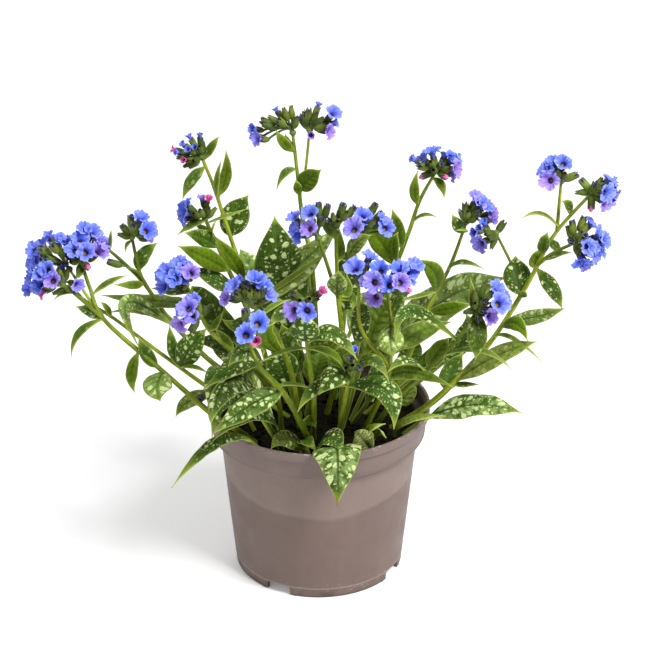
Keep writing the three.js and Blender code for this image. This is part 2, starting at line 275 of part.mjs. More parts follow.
// Flower heads: the stem or shoot whose tip carries them, and each flower,
// calyx or bud as the offset of its mouth from that tip, its colour and size.
const HEADS = [
  ["low_left_a", [[-5, -18, 12, "purple", 1], [-16, -10, 5, "blue", 1], [-9, -14, 18, "blue", 1],
    [-23, -2, 9, "blue", 1], [-17, -4, -5, "rose", 0.9], [-1, 6, 13, "blue", 0.8],
    [11, -6, 2, "violet", 0.8], [-2, -6, 14, "calyx", 1], [4, -2, 12, "calyx", 1],
    [0, -12, 11, "calyx", 1], [-14, -14, 15, "blue", 0.95], [-20, -6, 0, "blue", 0.9]]],
  ["mid_left", [[-27, -8, 3, "blue", 0.8], [2, -14, 6, "calyx", 1], [-10, -2, -3, "calyx", 1]]],
  ["low_left_b", [[-24, -4, 17, "blue", 1], [-19, 2, 20, "blue", 1], [-8, 4, 22, "blue", 1],
    [-22, -8, 11, "blue", 0.9], [-17, -12, 21, "calyx", 1], [-14, -14, 15, "calyx", 1],
    [-9, -14, 24, "calyx", 1], [-5, -8, 20, "calyx", 1], [-26, -4, 7, "blue", 0.9],
    [-13, 2, 25, "blue", 0.7], [-2, 4, 21, "blue", 0.8]]],
  ["low_left", [[-2, -18, 17, "blue", 0.9], [6, -19, 16, "blue", 1], [2, -10, 22, "blue", 1],
    [10, 0, 24, "blue", 1], [14, -6, 11, "purple", 1.1], [11, 6, 17, "violet", 1],
    [-8, -8, 8, "faded", 1], [-5, -14, 6, "calyx", 1], [-2, -4, -8, "calyx", 1], [5, -8, 0, "bud", 1],
    [4, -4, 27, "blue", 0.95], [16, 0, 15, "violet", 0.9]]],
  ["high_left_a", [[8, -4, 19, "blue", 1], [13, -10, 10, "blue", 1], [0, -2, 16, "faded", 1],
    [2, -12, 15, "calyx", 1], [-5, 2, 6, "faded", 1], [-8, -4, 4, "calyx", 1], [6, -2, 9, "calyx", 1],
    [13, -2, 0, "purple", 0.6]]],
  ["front_left", [[-16, -10, 3, "blue", 1], [-13, -12, 15, "blue", 1], [-5, 0, 18, "blue", 1],
    [-7, -18, 13, "blue", 1], [4, -16, 17, "purple", 1], [-11, 4, 14, "blue", 0.9],
    [-13, -2, -1, "calyx", 1], [-3, -8, 0, "calyx", 1], [-9, 2, -1, "calyx", 1],
    [-18, -4, 9, "blue", 0.9], [0, -6, 16, "blue", 0.9], [-2, -14, 12, "blue", 0.8]]],
  ["front_left_a", [[-7, -16, 14, "violet", 1.1], [-14, -10, -2, "purple", 0.9],
    [-5, -2, 13, "blue", 0.9], [-6, -6, -8, "calyx", 1], [4, 4, 3, "calyx", 1], [-2, 2, 8, "calyx", 1],
    [-12, -8, 10, "blue", 0.9], [-5, -14, 7, "violet", 0.85]]],
  ["tall_left", [[-19, 0, 6, "rose", 0.45], [-11, -12, 3, "rose", 0.5], [-16, -8, 7, "blue", 0.4],
    [-8, -14, 11, "blue", 0.5], [-12, -6, 12, "blue", 0.4], [-4, -10, 11, "blue", 0.4],
    [-8, 0, 15, "blue", 0.5], [-1, 0, 16, "blue", 0.4], [-17, -2, 1, "calyx", 1],
    [-12, -6, -4, "calyx", 1], [-8, -8, -4, "calyx", 1], [-5, -14, 3, "calyx", 1],
    [1, 2, 11, "calyx", 1], [-1, -10, 12, "calyx", 1]]],
  ["inner_left", [[-15, -6, 8, "blue", 1.1], [-2, 0, 16, "purple", 0.6], [3, -4, 17, "rose", 0.6],
    [-16, -2, 0, "violet", 0.8], [-11, -8, 12, "calyx", 1], [-7, -12, 9, "calyx", 1],
    [3, -6, 11, "calyx", 1], [7, 2, 7, "calyx", 1], [-3, -8, 10, "calyx", 1],
    [-14, 3, 11, "blue", 0.8]]],
  ["tall_middle", [[-27, -4, 5, "blue", 0.7], [-25, -8, -1, "violet", 0.8], [-21, -2, 10, "calyx", 1],
    [-16, 0, 12, "calyx", 1], [-20, -6, 8, "calyx", 1], [-10, -8, 13, "calyx", 1],
    [-6, -2, 18, "calyx", 1], [-1, 0, 19, "calyx", 1], [3, -4, 13, "calyx", 1],
    [-11, 4, 15, "blue", 0.4], [-28, -2, -1, "violet", 0.6]]],
  ["tall_middle_a", [[17, -4, 15, "blue", 0.9], [15, -8, 2, "purple", 0.9], [1, -10, 0, "purple", 0.6],
    [6, 2, 17, "blue", 0.5], [-4, -2, 13, "calyx", 1], [-1, 0, 15, "calyx", 1],
    [5, -4, 14, "calyx", 1], [9, -6, 11, "calyx", 1], [10, -8, 6, "calyx", 1], [-6, 4, 6, "blue", 0.4],
    [18, -2, 6, "blue", 0.7]]],
  ["inner_middle_a", [[-17, 0, 16, "blue", 0.8], [-6, -10, 23, "blue", 1],
    [-7, -14, 13, "purple", 0.9], [-15, -8, 5, "blue", 0.9], [0, 2, 23, "faded", 1],
    [6, 4, 21, "faded", 1], [2, -10, 19, "calyx", 1], [-17, -4, 9, "blue", 0.8]]],
  ["inner_middle", [[-2, 2, 13, "calyx", 1], [-5, -8, 12, "calyx", 1], [3, 4, 13, "calyx", 1],
    [5, 2, 19, "faded", 1], [7, -14, 20, "calyx", 1], [12, 2, 17, "faded", 1],
    [1, -12, 13, "calyx", 1]]],
  ["inner_middle_b", [[5, -8, 23, "blue", 1], [-2, -16, 16, "violet", 1.1], [19, -4, 18, "blue", 0.8],
    [20, -10, 14, "blue", 0.9], [10, 2, 21, "calyx", 1], [13, 6, 23, "faded", 1],
    [12, -8, 18, "calyx", 1], [17, 6, 17, "faded", 1], [8, -4, 17, "blue", 0.85]]],
  ["tall_right", [[-17, 0, 9, "blue", 0.7], [-9, 4, 7, "blue", 0.9], [-3, 2, 11, "blue", 1],
    [5, 4, 8, "blue", 0.9], [12, 0, 11, "blue", 1], [15, -6, 4, "purple", 1],
    [-13, -10, 7, "calyx", 1], [-9, -8, 8, "calyx", 1], [-5, -12, 11, "calyx", 1],
    [-3, -12, 5, "calyx", 1], [3, -8, 8, "calyx", 1], [8, 2, 7, "calyx", 1], [8, -10, 5, "calyx", 1],
    [-10, -4, -3, "bud", 1], [4, -6, -1, "bud", 1], [12, 0, -3, "violet", 0.85],
    [17, 4, 6, "blue", 0.8]]],
  ["inner_right", [[7, 0, 20, "violet", 1], [13, -6, 16, "blue", 1], [18, -4, 9, "purple", 0.9],
    [18, -8, 5, "purple", 0.7], [-1, 2, 13, "calyx", 1], [4, 4, 12, "calyx", 1],
    [-4, -2, 9, "calyx", 1], [0, -10, 12, "calyx", 1], [7, -10, 11, "calyx", 1],
    [6, -10, 7, "calyx", 1], [9, -4, 17, "violet", 0.8]]],
  ["long_right_c", [[-16, -8, 4, "blue", 0.7], [-13, -10, -4, "violet", 1], [-9, 0, 9, "blue", 0.7],
    [-8, -8, 3, "calyx", 1], [-6, -10, 0, "calyx", 1], [-3, -4, -8, "calyx", 1], [3, 4, 3, "calyx", 1],
    [-12, -4, 6, "blue", 0.65]]],
  ["long_right_a", [[-8, 0, 16, "blue", 1], [0, -8, 17, "blue", 0.9], [-14, -4, 10, "blue", 0.8],
    [-10, -12, 6, "purple", 1], [-5, -10, 12, "calyx", 1], [1, -8, 9, "calyx", 1],
    [6, 2, 3, "calyx", 1], [10, 0, 5, "faded", 1], [-12, -6, 12, "blue", 0.85]]],
  ["long_right", [[11, 0, 10, "blue", 0.8], [18, 4, 3, "blue", 1], [9, -12, 4, "blue", 1],
    [7, -8, -4, "purple", 0.9], [17, 0, -5, "violet", 0.9], [1, -6, 8, "calyx", 1],
    [6, 2, 9, "calyx", 1], [7, -8, 8, "calyx", 1], [-5, 2, 5, "faded", 1], [-10, 4, -2, "calyx", 1],
    [-1, -6, -9, "bud", 1], [12, -2, 10, "blue", 0.8], [12, -4, -5, "violet", 0.7]]],
  ["long_right_b", [[12, 4, 13, "blue", 0.8], [18, 0, 6, "blue", 1], [21, 0, -4, "blue", 1],
    [8, -14, 3, "blue", 0.9], [15, -8, -6, "blue", 0.9], [4, -10, -10, "blue", 1],
    [-5, 4, 10, "calyx", 1], [-2, 2, 14, "faded", 1], [8, 2, 12, "calyx", 1], [6, 6, 15, "faded", 1],
    [3, -8, 11, "calyx", 1], [5, -12, 10, "faded", 1], [-4, -10, 6, "calyx", 1],
    [3, -2, -8, "calyx", 1], [9, -6, -15, "violet", 0.8], [21, -4, 4, "blue", 0.85],
    [12, -10, 1, "blue", 0.85]]],
  ["front_right", [[13, 0, 16, "blue", 1], [13, -12, 10, "blue", 1.1], [8, -12, 0, "purple", 0.9],
    [20, 4, 7, "blue", 0.8], [-3, 2, 12, "calyx", 1], [3, 2, 16, "calyx", 1], [7, -4, 14, "calyx", 1],
    [4, -10, 10, "calyx", 1], [-3, -8, 8, "calyx", 1], [3, -12, 5, "calyx", 1],
    [-4, -2, 0, "calyx", 1], [0, -8, -2, "calyx", 1]]],
  ["near_right", [[-6, -14, 22, "blue", 1.05], [-10, -20, 16, "violet", 1.05],
    [-1, -20, 15, "blue", 0.95], [-8, -10, 1, "purple", 1], [7, -8, 22, "blue", 1],
    [8, -20, 16, "purple", 1.05], [14, -4, 17, "blue", 1.1], [13, -2, 2, "bud", 1],
    [3, -4, 14, "calyx", 1], [18, 0, 20, "blue", 0.9], [16, 0, 10, "blue", 0.8],
    [-15, -10, 13, "violet", 0.8]]],
  ["near_right_a", [[-3, -6, 14, "blue", 1.1], [8, 2, 20, "blue", 0.9], [2, 4, 3, "bud", 1],
    [5, -6, 16, "calyx", 1]]],
  ["near_left", [[-19, -6, 9, "purple", 0.9], [-14, -4, 17, "blue", 0.9], [-10, 2, 17, "blue", 0.7],
    [2, -2, 21, "blue", 1.1], [10, 0, 8, "blue", 0.9], [-12, -10, 13, "calyx", 1],
    [-7, -8, 15, "calyx", 1], [-2, -14, 17, "calyx", 1], [3, -14, 17, "calyx", 1],
    [7, -8, 15, "calyx", 1], [-6, -2, 17, "faded", 1], [-3, -4, 15, "faded", 1],
    [7, 0, 16, "blue", 0.9], [-5, -2, 16, "blue", 0.6]]],
  ["thick_front", [[-1, -18, 16, "blue", 1.1], [7, -12, 21, "blue", 1.1], [5, -14, 9, "rose", 0.7],
    [-2, -2, 24, "faded", 1], [3, 2, 19, "faded", 1], [-5, 2, 14, "calyx", 1],
    [3, -8, 17, "blue", 0.8]]],
  ["middle_front", [[-9, -12, 0, "purple", 1], [0, -18, 2, "blue", 1], [10, -6, 11, "rose", 0.7],
    [-9, -4, 8, "calyx", 1], [-4, -14, 8, "calyx", 1], [4, -2, 9, "calyx", 1], [7, -8, 6, "calyx", 1],
    [2, -14, 9, "calyx", 1]]],
  ["short_front", [[1, -2, 13, "blue", 0.6], [-5, 0, 6, "calyx", 1], [-1, -10, 11, "calyx", 1],
    [4, -2, 7, "calyx", 1], [-4, -10, 4, "calyx", 1], [0, -14, 8, "calyx", 1], [5, -8, 3, "calyx", 1],
    [-3, -8, 0, "calyx", 1]]],
  ["high_left_b", [[-12, 0, 4, "faded", 1]]],
  ["mid_left_b", [[-3, -7, -3, "deep", 0.7]]],
];

// Two heads so close together that their flowers interlock are one piece.
const GROWN_INTO = { low_left_b: 'low_left_a' };

// Single side flowers, which belong to the piece of their stem.
const ON_STEM = ['high_left_b', 'mid_left_b'];

const FACING = {
  up: new THREE.Vector3(0, 0, 1),
  front: new THREE.Vector3(0, -0.9, 0.43),
  tilt: new THREE.Vector3(0, -0.5, 0.86),
};

const MATERIALS = {
  pot: { color: 0x92827a, roughness: 0.6, metalness: 0 },
  soil: { color: 0x1d1a17, roughness: 1, metalness: 0 },
  stem: { color: 0x7f9a48, roughness: 0.6, metalness: 0 },
  leaf: { color: 0x4a6b36, roughness: 0.65, metalness: 0 },
  flower: { color: 0x5a70d8, roughness: 0.55, metalness: 0 },
};

const vector = (p) => new THREE.Vector3(p[0], p[1], p[2]);

// A closed solid for joining and cutting, from a closed three.js geometry.
function toSolid(geometry) {
  geometry.deleteAttribute('normal');
  geometry.deleteAttribute('uv');
  const merged = mergeVertices(geometry, 1e-4);
  return new wasm.Manifold(new wasm.Mesh({
    numProp: 3,
    vertProperties: new Float32Array(merged.attributes.position.array),
    triVerts: new Uint32Array(merged.index.array),
  }));
}

// Bends a unit cylinder: place(u) gives the centre, the side and normal
// directions and the two half axes of the section at u, from 0 to 1.
function bentCylinder(sides, steps, place) {
  const geometry = new THREE.CylinderGeometry(1, 1, 1, sides, steps);
  const position = geometry.attributes.position;
  for (let i = 0; i < position.count; i += 1) {
    const x = position.getX(i);
    const z = position.getZ(i);
    const s = place(Math.min(1, Math.max(0, 0.5 + position.getY(i))));
    const p = s.centre.clone().addScaledVector(s.side, x * s.halfWidth);
    p.addScaledVector(s.normal, z * s.halfHeight);
    position.setXYZ(i, p.x, p.y, p.z);
  }
  return toSolid(geometry);
}

// The centre of a section, moved outwards at the two ends by the swelling.
function centreAt(curve, u, swell) {
  const centre = curve.getPoint(u);
  const along = curve.getTangent(u);
  if (u < 1e-6) centre.addScaledVector(along, -swell);
  if (u > 1 - 1e-6) centre.addScaledVector(along, swell);
  return { centre, along };
}

// A tapered round tube along a curve.
function stemSolid(curve, footDiameter, tipDiameter, steps, swell) {
  const reference = new THREE.Vector3(0, 1, 0);
  return bentCylinder(STEM_SIDES, steps, (u) => {
    const { centre, along } = centreAt(curve, u, swell);
    const side = along.clone().cross(reference).normalize();
    const normal = side.clone().cross(along).normalize();
    const radius = THREE.MathUtils.lerp(footDiameter, tipDiameter, u) / 2 + swell;
    return { centre, side, normal, halfWidth: radius, halfHeight: radius };
  });
}

// A leaf: a quadratic curve from the base over the midrib point to the tip.
// The section is a flat lens, turned about the midrib so that the upper side
// faces the given way at mid length.
function leafSolid(leaf, swell) {
  const { base, mid, tip, width, facing, stalk } = leaf;
  const control = mid.clone().multiplyScalar(2);
  control.addScaledVector(base, -0.5).addScaledVector(tip, -0.5);
  const curve = new THREE.QuadraticBezierCurve3(base, control, tip);
  const binormal = mid.clone().sub(base).cross(tip.clone().sub(base));
  const station = stalk > 0.25 ? 0.7 : 0.5;
  const along = curve.getTangent(station);
  if (binormal.length() < 1) binormal.copy(along).cross(FACING[facing]);
  binormal.normalize();
  const flat = binormal.clone().cross(along);
  const wanted = FACING[facing];
  const turn = Math.atan2(wanted.dot(binormal), wanted.dot(flat));
  const length = curve.getLength();
  const broad = width / length > 0.35 || stalk > 0;
  const big = stalk > 0;
  const sides = big && width > 12 ? 6 : 4;
  const steps = big ? 6 : 3;
  return bentCylinder(sides, steps, (u) => {
    const place = centreAt(curve, u, swell);
    const x = Math.max(0, (u - stalk) / (1 - stalk));
    const shape = Math.max(0, Math.sin(Math.PI * Math.min(1, x) ** (broad ? 0.8 : 0.85)));
    let half = (width / 2) * shape ** (broad ? 0.75 : 1);
    const least = big && u < 0.5 ? PETIOLE_WIDTH / 2 : TIP_WIDTH / 2;
    half = Math.max(half, least);
    const start = binormal.clone().cross(place.along).normalize();
    const normal = start.multiplyScalar(Math.cos(turn)).addScaledVector(binormal, Math.sin(turn));
    const side = place.along.clone().cross(normal).normalize();
    const thin = LEAF_THICKNESS / 2;
    const thick = big ? THREE.MathUtils.lerp(PETIOLE_THICKNESS / 2, thin, Math.min(1, x * 3)) : thin;
    return { centre: place.centre, side, normal, halfWidth: half + swell, halfHeight: thick + swell };
  });
}

// A flower on its stalk, opening towards the mouth; a bud or a calyx alone is
// a narrow cone that widens away from the cushion.
function blossomSolid(hub, item, swell, start = HUB_RADIUS * 0.6) {
  const [x, y, z, kind, size] = item;
  const open = !['calyx', 'bud', 'faded'].includes(kind);
  const mouth = new THREE.Vector3(x, y, z);
  const length = mouth.length();
  const axis = mouth.clone().normalize();
  const end = hub.clone().add(mouth);
  const bell = Math.min(length - 1, FLOWER_LENGTH * Math.min(1, size));
  const root = hub.clone().addScaledVector(axis, start);
  const curve = new THREE.LineCurve3(root, end);
  const up = Math.abs(axis.z) > 0.9 ? new THREE.Vector3(0, 1, 0) : new THREE.Vector3(0, 0, 1);
  const side = axis.clone().cross(up).normalize();
  const normal = side.clone().cross(axis).normalize();
  const mouthRadius = FLOWER_RADIUS * size;
  const throat = 1 - (0.4 * bell) / length;
  const stations = open ? [0, throat, 1] : [0, 1];
  const radii = open ? [STALK_RADIUS, CALYX_RADIUS, mouthRadius] : [STALK_RADIUS, CALYX_RADIUS];
  const steps = stations.length - 1;
  return bentCylinder(4, steps, (v) => {
    const i = Math.round(v * steps);
    const { centre } = centreAt(curve, stations[i], swell);
    const radius = radii[i] + swell;
    return { centre, side, normal, halfWidth: radius, halfHeight: radius };
  });
}

// The small cushion at a stem tip from which the flower stalks spring.
function hubSolid(hub, swell) {
  const geometry = new THREE.IcosahedronGeometry(HUB_RADIUS + swell, 0);
  geometry.translate(hub.x, hub.y, hub.z);
  return toSolid(geometry);
}

function joined(solids) {
  return solids.reduce((all, solid) => all.add(solid));
}

function boxesMeet(a, b) {
  const p = a.boundingBox();
  const q = b.boundingBox();
  return [0, 1, 2].every((k) => p.min[k] < q.max[k] && q.min[k] < p.max[k]);
}

// The largest body that is left when the earlier solids, swollen by the
// clearance, are cut from this one.
function cleared(solid, keepouts) {
  const near = keepouts.filter((other) => boxesMeet(solid, other));
  const plain = solid.asOriginal().simplify(FINEST * 2);
  const left = near.reduce((rest, other) => rest.subtract(other), plain);
  const bodies = left.asOriginal().simplify(FINEST / 2).decompose();
  return bodies.reduce((best, body) => (body.volume() > best.volume() ? body : best));
}

function latheSolid(profile, sides) {
  const points = profile.map(([r, z]) => new THREE.Vector2(r, z));
  const geometry = new THREE.LatheGeometry(points, sides);
  geometry.rotateX(Math.PI / 2);
  return toSolid(geometry);
}

function potSolid() {
  const shoulder = POT_HEIGHT - SHOULDER_DEPTH;
  const underCollar = POT_HEIGHT - COLLAR_HEIGHT;
  const underLip = POT_HEIGHT - LIP_HEIGHT;
  const floorTop = FOOT_RING_HEIGHT + FLOOR;
  const footInner = BASE_RADIUS - FOOT_RING_WIDTH;
  const shell = latheSolid([
    [0, FOOT_RING_HEIGHT],
    [footInner, FOOT_RING_HEIGHT],
    [footInner, 0],
    [BASE_RADIUS - 0.4, 0],
    [BASE_RADIUS + 0.3, FOOT_RING_HEIGHT],
    [WALL_TOP_RADIUS, underCollar],
    [COLLAR_FOOT_RADIUS, underCollar],
    [COLLAR_TOP_RADIUS, underLip],
    [RIM_RADIUS, underLip],
    [RIM_RADIUS, POT_HEIGHT],
    [RIM_RADIUS - 2, POT_HEIGHT],
    [COLLAR_FOOT_RADIUS - WALL, shoulder],
    [WALL_TOP_RADIUS - WALL + 1, shoulder - 1],
    [WALL_TOP_RADIUS - WALL, underCollar],
    [BASE_RADIUS - WALL, floorTop],
    [0, floorTop],
  ], POT_SIDES);
  let pot = shell;
  for (const degrees of NOTCH_ANGLES) {
    const angle = THREE.MathUtils.degToRad(degrees);
    const notch = new THREE.BoxGeometry(NOTCH_WIDTH, 12, 2 * NOTCH_HEIGHT);
    notch.translate(0, -BASE_RADIUS, 0);
    notch.rotateZ(angle);
    const drain = new THREE.CylinderGeometry(DRAIN_RADIUS, DRAIN_RADIUS, 8, 12);
    drain.rotateX(Math.PI / 2);
    drain.translate(0, -DRAIN_RING_RADIUS, FOOT_RING_HEIGHT + FLOOR / 2);
    drain.rotateZ(angle);
    pot = pot.subtract(toSolid(notch)).subtract(toSolid(drain));
  }
  return pot;
}

// The space that the rim takes, with the clearance around it.
function rimSolid() {
  const shoulder = POT_HEIGHT - SHOULDER_DEPTH;
  const outer = RIM_RADIUS + GAP;
  return latheSolid([
    [WALL_TOP_RADIUS - WALL - GAP, shoulder - 15],
    [outer, shoulder - 15],
    [outer, POT_HEIGHT + GAP],
    [RIM_RADIUS - 2 - GAP, POT_HEIGHT + GAP],
    [COLLAR_FOOT_RADIUS - WALL - GAP, shoulder + GAP],
    [WALL_TOP_RADIUS - WALL - GAP, shoulder + GAP],
    [WALL_TOP_RADIUS - WALL - GAP, shoulder - 15],
  ], POT_SIDES);
}

function soilSolid() {
  const underCollar = POT_HEIGHT - COLLAR_HEIGHT;
  const bottom = FOOT_RING_HEIGHT + FLOOR + GAP;
  return latheSolid([
    [0, bottom],
    [BASE_RADIUS - WALL - 2 * GAP, bottom],
    [WALL_TOP_RADIUS - WALL - 2 * GAP, underCollar],
    [WALL_TOP_RADIUS - WALL - 2 * GAP, SOIL_TOP],
    [20, SOIL_TOP + SOIL_DOME],
    [0, SOIL_TOP + SOIL_DOME],
  ], SOIL_SIDES);
}

// The curve of each stem and shoot, and the pieces of each node as functions
// of the swelling.
const curves = {};
const pieces = {};

for (const [name, points, foot, tip] of STEMS) {
  const curve = new THREE.CatmullRomCurve3(points.map(vector), false, 'catmullrom', 0.5);
  curves[name] = { curve, node: name };
  const steps = 2 * points.length - 2;
  pieces[name] = [(swell) => stemSolid(curve, foot, tip, steps, swell)];
}

for (const [name, parent, along, points, start, tip] of SHOOTS) {
  const stem = curves[parent];
  const first = stem.curve.getPoint(along);
  const path = [first, ...points.map(vector)];
  const curve = new THREE.CatmullRomCurve3(path, false, 'catmullrom', 0.5);
  curves[name] = { curve, node: stem.node };
  pieces[stem.node].push((swell) => stemSolid(curve, start, tip, 3, swell));
}

for (const [parent, along, mid, tip, width, facing] of STEM_LEAVES) {
  const stem = curves[parent];
  const base = stem.curve.getPoint(along);
  const leaf = { base, mid: vector(mid), tip: vector(tip), width, facing, stalk: 0 };
  pieces[stem.node].push((swell) => leafSolid(leaf, swell));
}

const leafPieces = {};
for (const [name, foot, mid, tip, width, facing, stalk] of CROWN_LEAVES) {
  const base = new THREE.Vector3(foot[0], foot[1], SOIL_TOP - 9);
  const leaf = { base, mid: vector(mid), tip: vector(tip), width, facing, stalk };
  leafPieces[name] = leafPieces[name] || [];
  leafPieces[name].push((swell) => leafSolid(leaf, swell));
}

const headPieces = {};
for (const [name, items] of HEADS) {
  const hub = curves[name].curve.getPoint(1);
  if (ON_STEM.includes(name)) {
    for (const item of items) pieces[curves[name].node].push((swell) => blossomSolid(hub, item, swell, -1));
    continue;
  }
  const list = headPieces[GROWN_INTO[name] || name] || [];
  list.push((swell) => hubSolid(hub, swell));
  for (const item of items) list.push((swell) => blossomSolid(hub, item, swell));
  headPieces[GROWN_INTO[name] || name] = list;
}

const plant = new THREE.Group();

function addMesh(name, solid, material) {
  const mesh = solid.getMesh();
  const geometry = new THREE.BufferGeometry();
  geometry.setAttribute('position', new THREE.BufferAttribute(new Float32Array(mesh.vertProperties), 3));
  geometry.setIndex(new THREE.BufferAttribute(new Uint32Array(mesh.triVerts), 1));
  geometry.computeVertexNormals();
  const part = new THREE.Mesh(geometry, new THREE.MeshStandardMaterial(material));
  part.name = name;
  plant.add(part);
}

// Each piece is cleared of those before it: stems first, then the leaves of
// the crown, then the flower heads, and last the soil around the feet.
const keepouts = [rimSolid()];
const rooted = [];

function addGrown(prefix, table, material, inSoil) {
  for (const [name, parts] of Object.entries(table)) {
    const solid = cleared(joined(parts.map((part) => part(0))), keepouts);
    const swollen = joined(parts.map((part) => part(SWELL))).asOriginal().simplify(FINEST / 2);
    keepouts.push(swollen);
    if (inSoil) rooted.push(swollen);
    addMesh(`${prefix}_${name}`, solid, material);
  }
}

addMesh('pot', potSolid(), MATERIALS.pot);
addGrown('stem', pieces, MATERIALS.stem, true);
addGrown('leaf', leafPieces, MATERIALS.leaf, true);
addGrown('flowers', headPieces, MATERIALS.flower, false);
addMesh('soil', cleared(soilSolid(), rooted), MATERIALS.soil);

export default plant;
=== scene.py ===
import math

import bpy
import numpy as np
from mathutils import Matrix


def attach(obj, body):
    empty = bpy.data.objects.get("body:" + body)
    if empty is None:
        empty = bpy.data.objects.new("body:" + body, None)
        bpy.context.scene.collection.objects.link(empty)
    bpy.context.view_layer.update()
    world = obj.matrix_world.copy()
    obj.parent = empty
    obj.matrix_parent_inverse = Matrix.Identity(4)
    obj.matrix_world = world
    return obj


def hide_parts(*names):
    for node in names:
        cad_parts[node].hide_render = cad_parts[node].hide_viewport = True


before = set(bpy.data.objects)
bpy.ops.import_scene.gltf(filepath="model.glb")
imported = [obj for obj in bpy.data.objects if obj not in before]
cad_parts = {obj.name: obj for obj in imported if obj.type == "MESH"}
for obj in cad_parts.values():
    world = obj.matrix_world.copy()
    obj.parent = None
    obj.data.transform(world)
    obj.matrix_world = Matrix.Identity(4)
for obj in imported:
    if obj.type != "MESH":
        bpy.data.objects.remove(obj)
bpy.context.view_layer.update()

# Potted lungwort. Lengths in the tables are millimetres; every mesh is made in
# metres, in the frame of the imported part: +Z up, the pot's foot on z = 0, the
# front of the plant towards -Y.

MM = 0.001
TURN = 2 * math.pi

# Pot and soil
POT_HEIGHT = 119
RIM_RADIUS = 75
LIP_HEIGHT = 6
COLLAR_HEIGHT = 20
COLLAR_TOP_RADIUS = 73.2
COLLAR_FOOT_RADIUS = 71.8
WALL_TOP_RADIUS = 67
BASE_RADIUS = 57.7
WALL = 1.8
SHOULDER_DEPTH = 10
FOOT_RING_HEIGHT = 7
FOOT_RING_WIDTH = 3.6
FLOOR = 1.8
NOTCH_WIDTH = 17.4
NOTCH_HEIGHT = 6.6
NOTCH_DEPTH = 12
NOTCH_CORNER = 1.6
NOTCH_ANGLES = (-28.5, 61.5, 151.5, 241.5)
NOTCH_RIB_HEIGHT = 0.45
NOTCH_RIB_DISTANCE = 3.4
DRAIN_RADIUS = 5
DRAIN_RING_RADIUS = 44
UNDER_COLLAR = POT_HEIGHT - COLLAR_HEIGHT
SOIL_TOP = 107
SOIL_GAP = 0.6
CRUMBS = 260

# Plant
LEAF_FOOT_DEPTH = 9
STALK_LENGTH_BEHIND_FLOWER = 14.8
CALYX_LENGTH_BEHIND_MOUTH = 9
HAIR_WIDTH = 0.075
CALYX_HAIRS = 34
DRY_TIP_SHARE = 0.12

# Grids: steps along and round a stem, along and over half a leaf, and round,
# outside and inside a calyx or a flower.
STEM_GRID = (72, 18)
SHOOT_GRID = (30, 14)
CROWN_LEAF_GRID = (56, 13)
STEM_LEAF_GRID = (22, 7)
SMALL_LEAF_GRID = (16, 5)
SMALL_LEAF_WIDTH = 9
CALYX_GRID = (20, 9, 3)
COROLLA_GRID = (60, 14, 10)
POT_STEPS = 360
LONGEST_STEP = 6
SOIL_GRID = (62, 220)
DRAIN_STEPS = 24

# First seeds: every row of a table draws from its own.
SEED = dict(stem=100, shoot=200, stem_leaf=300, crown_leaf=500, head=700, crumbs=21)

# Camera, fitted to the pot's rim, collar and foot: its aim in millimetres, its
# distance in metres
PHOTO_WIDTH = 650
FOCAL_PIXELS = 1965.5
SENSOR_WIDTH = 36
CAMERA_RISE = math.radians(25.30)
CAMERA_AIM = (4.2, 0, 175.8)
CAMERA_DISTANCE = 1.3

# Lamps: name, watts, size and place in metres.
LAMPS = (
    ("key", 52, 0.7, (0.9, -0.85, 1.6)),
    ("fill", 6, 1.2, (-1.4, -1.0, 0.9)),
    ("back", 14, 1.0, (-0.2, 1.2, 1.6)),
)
LAMP_AIM = (0, 0, 0.18)

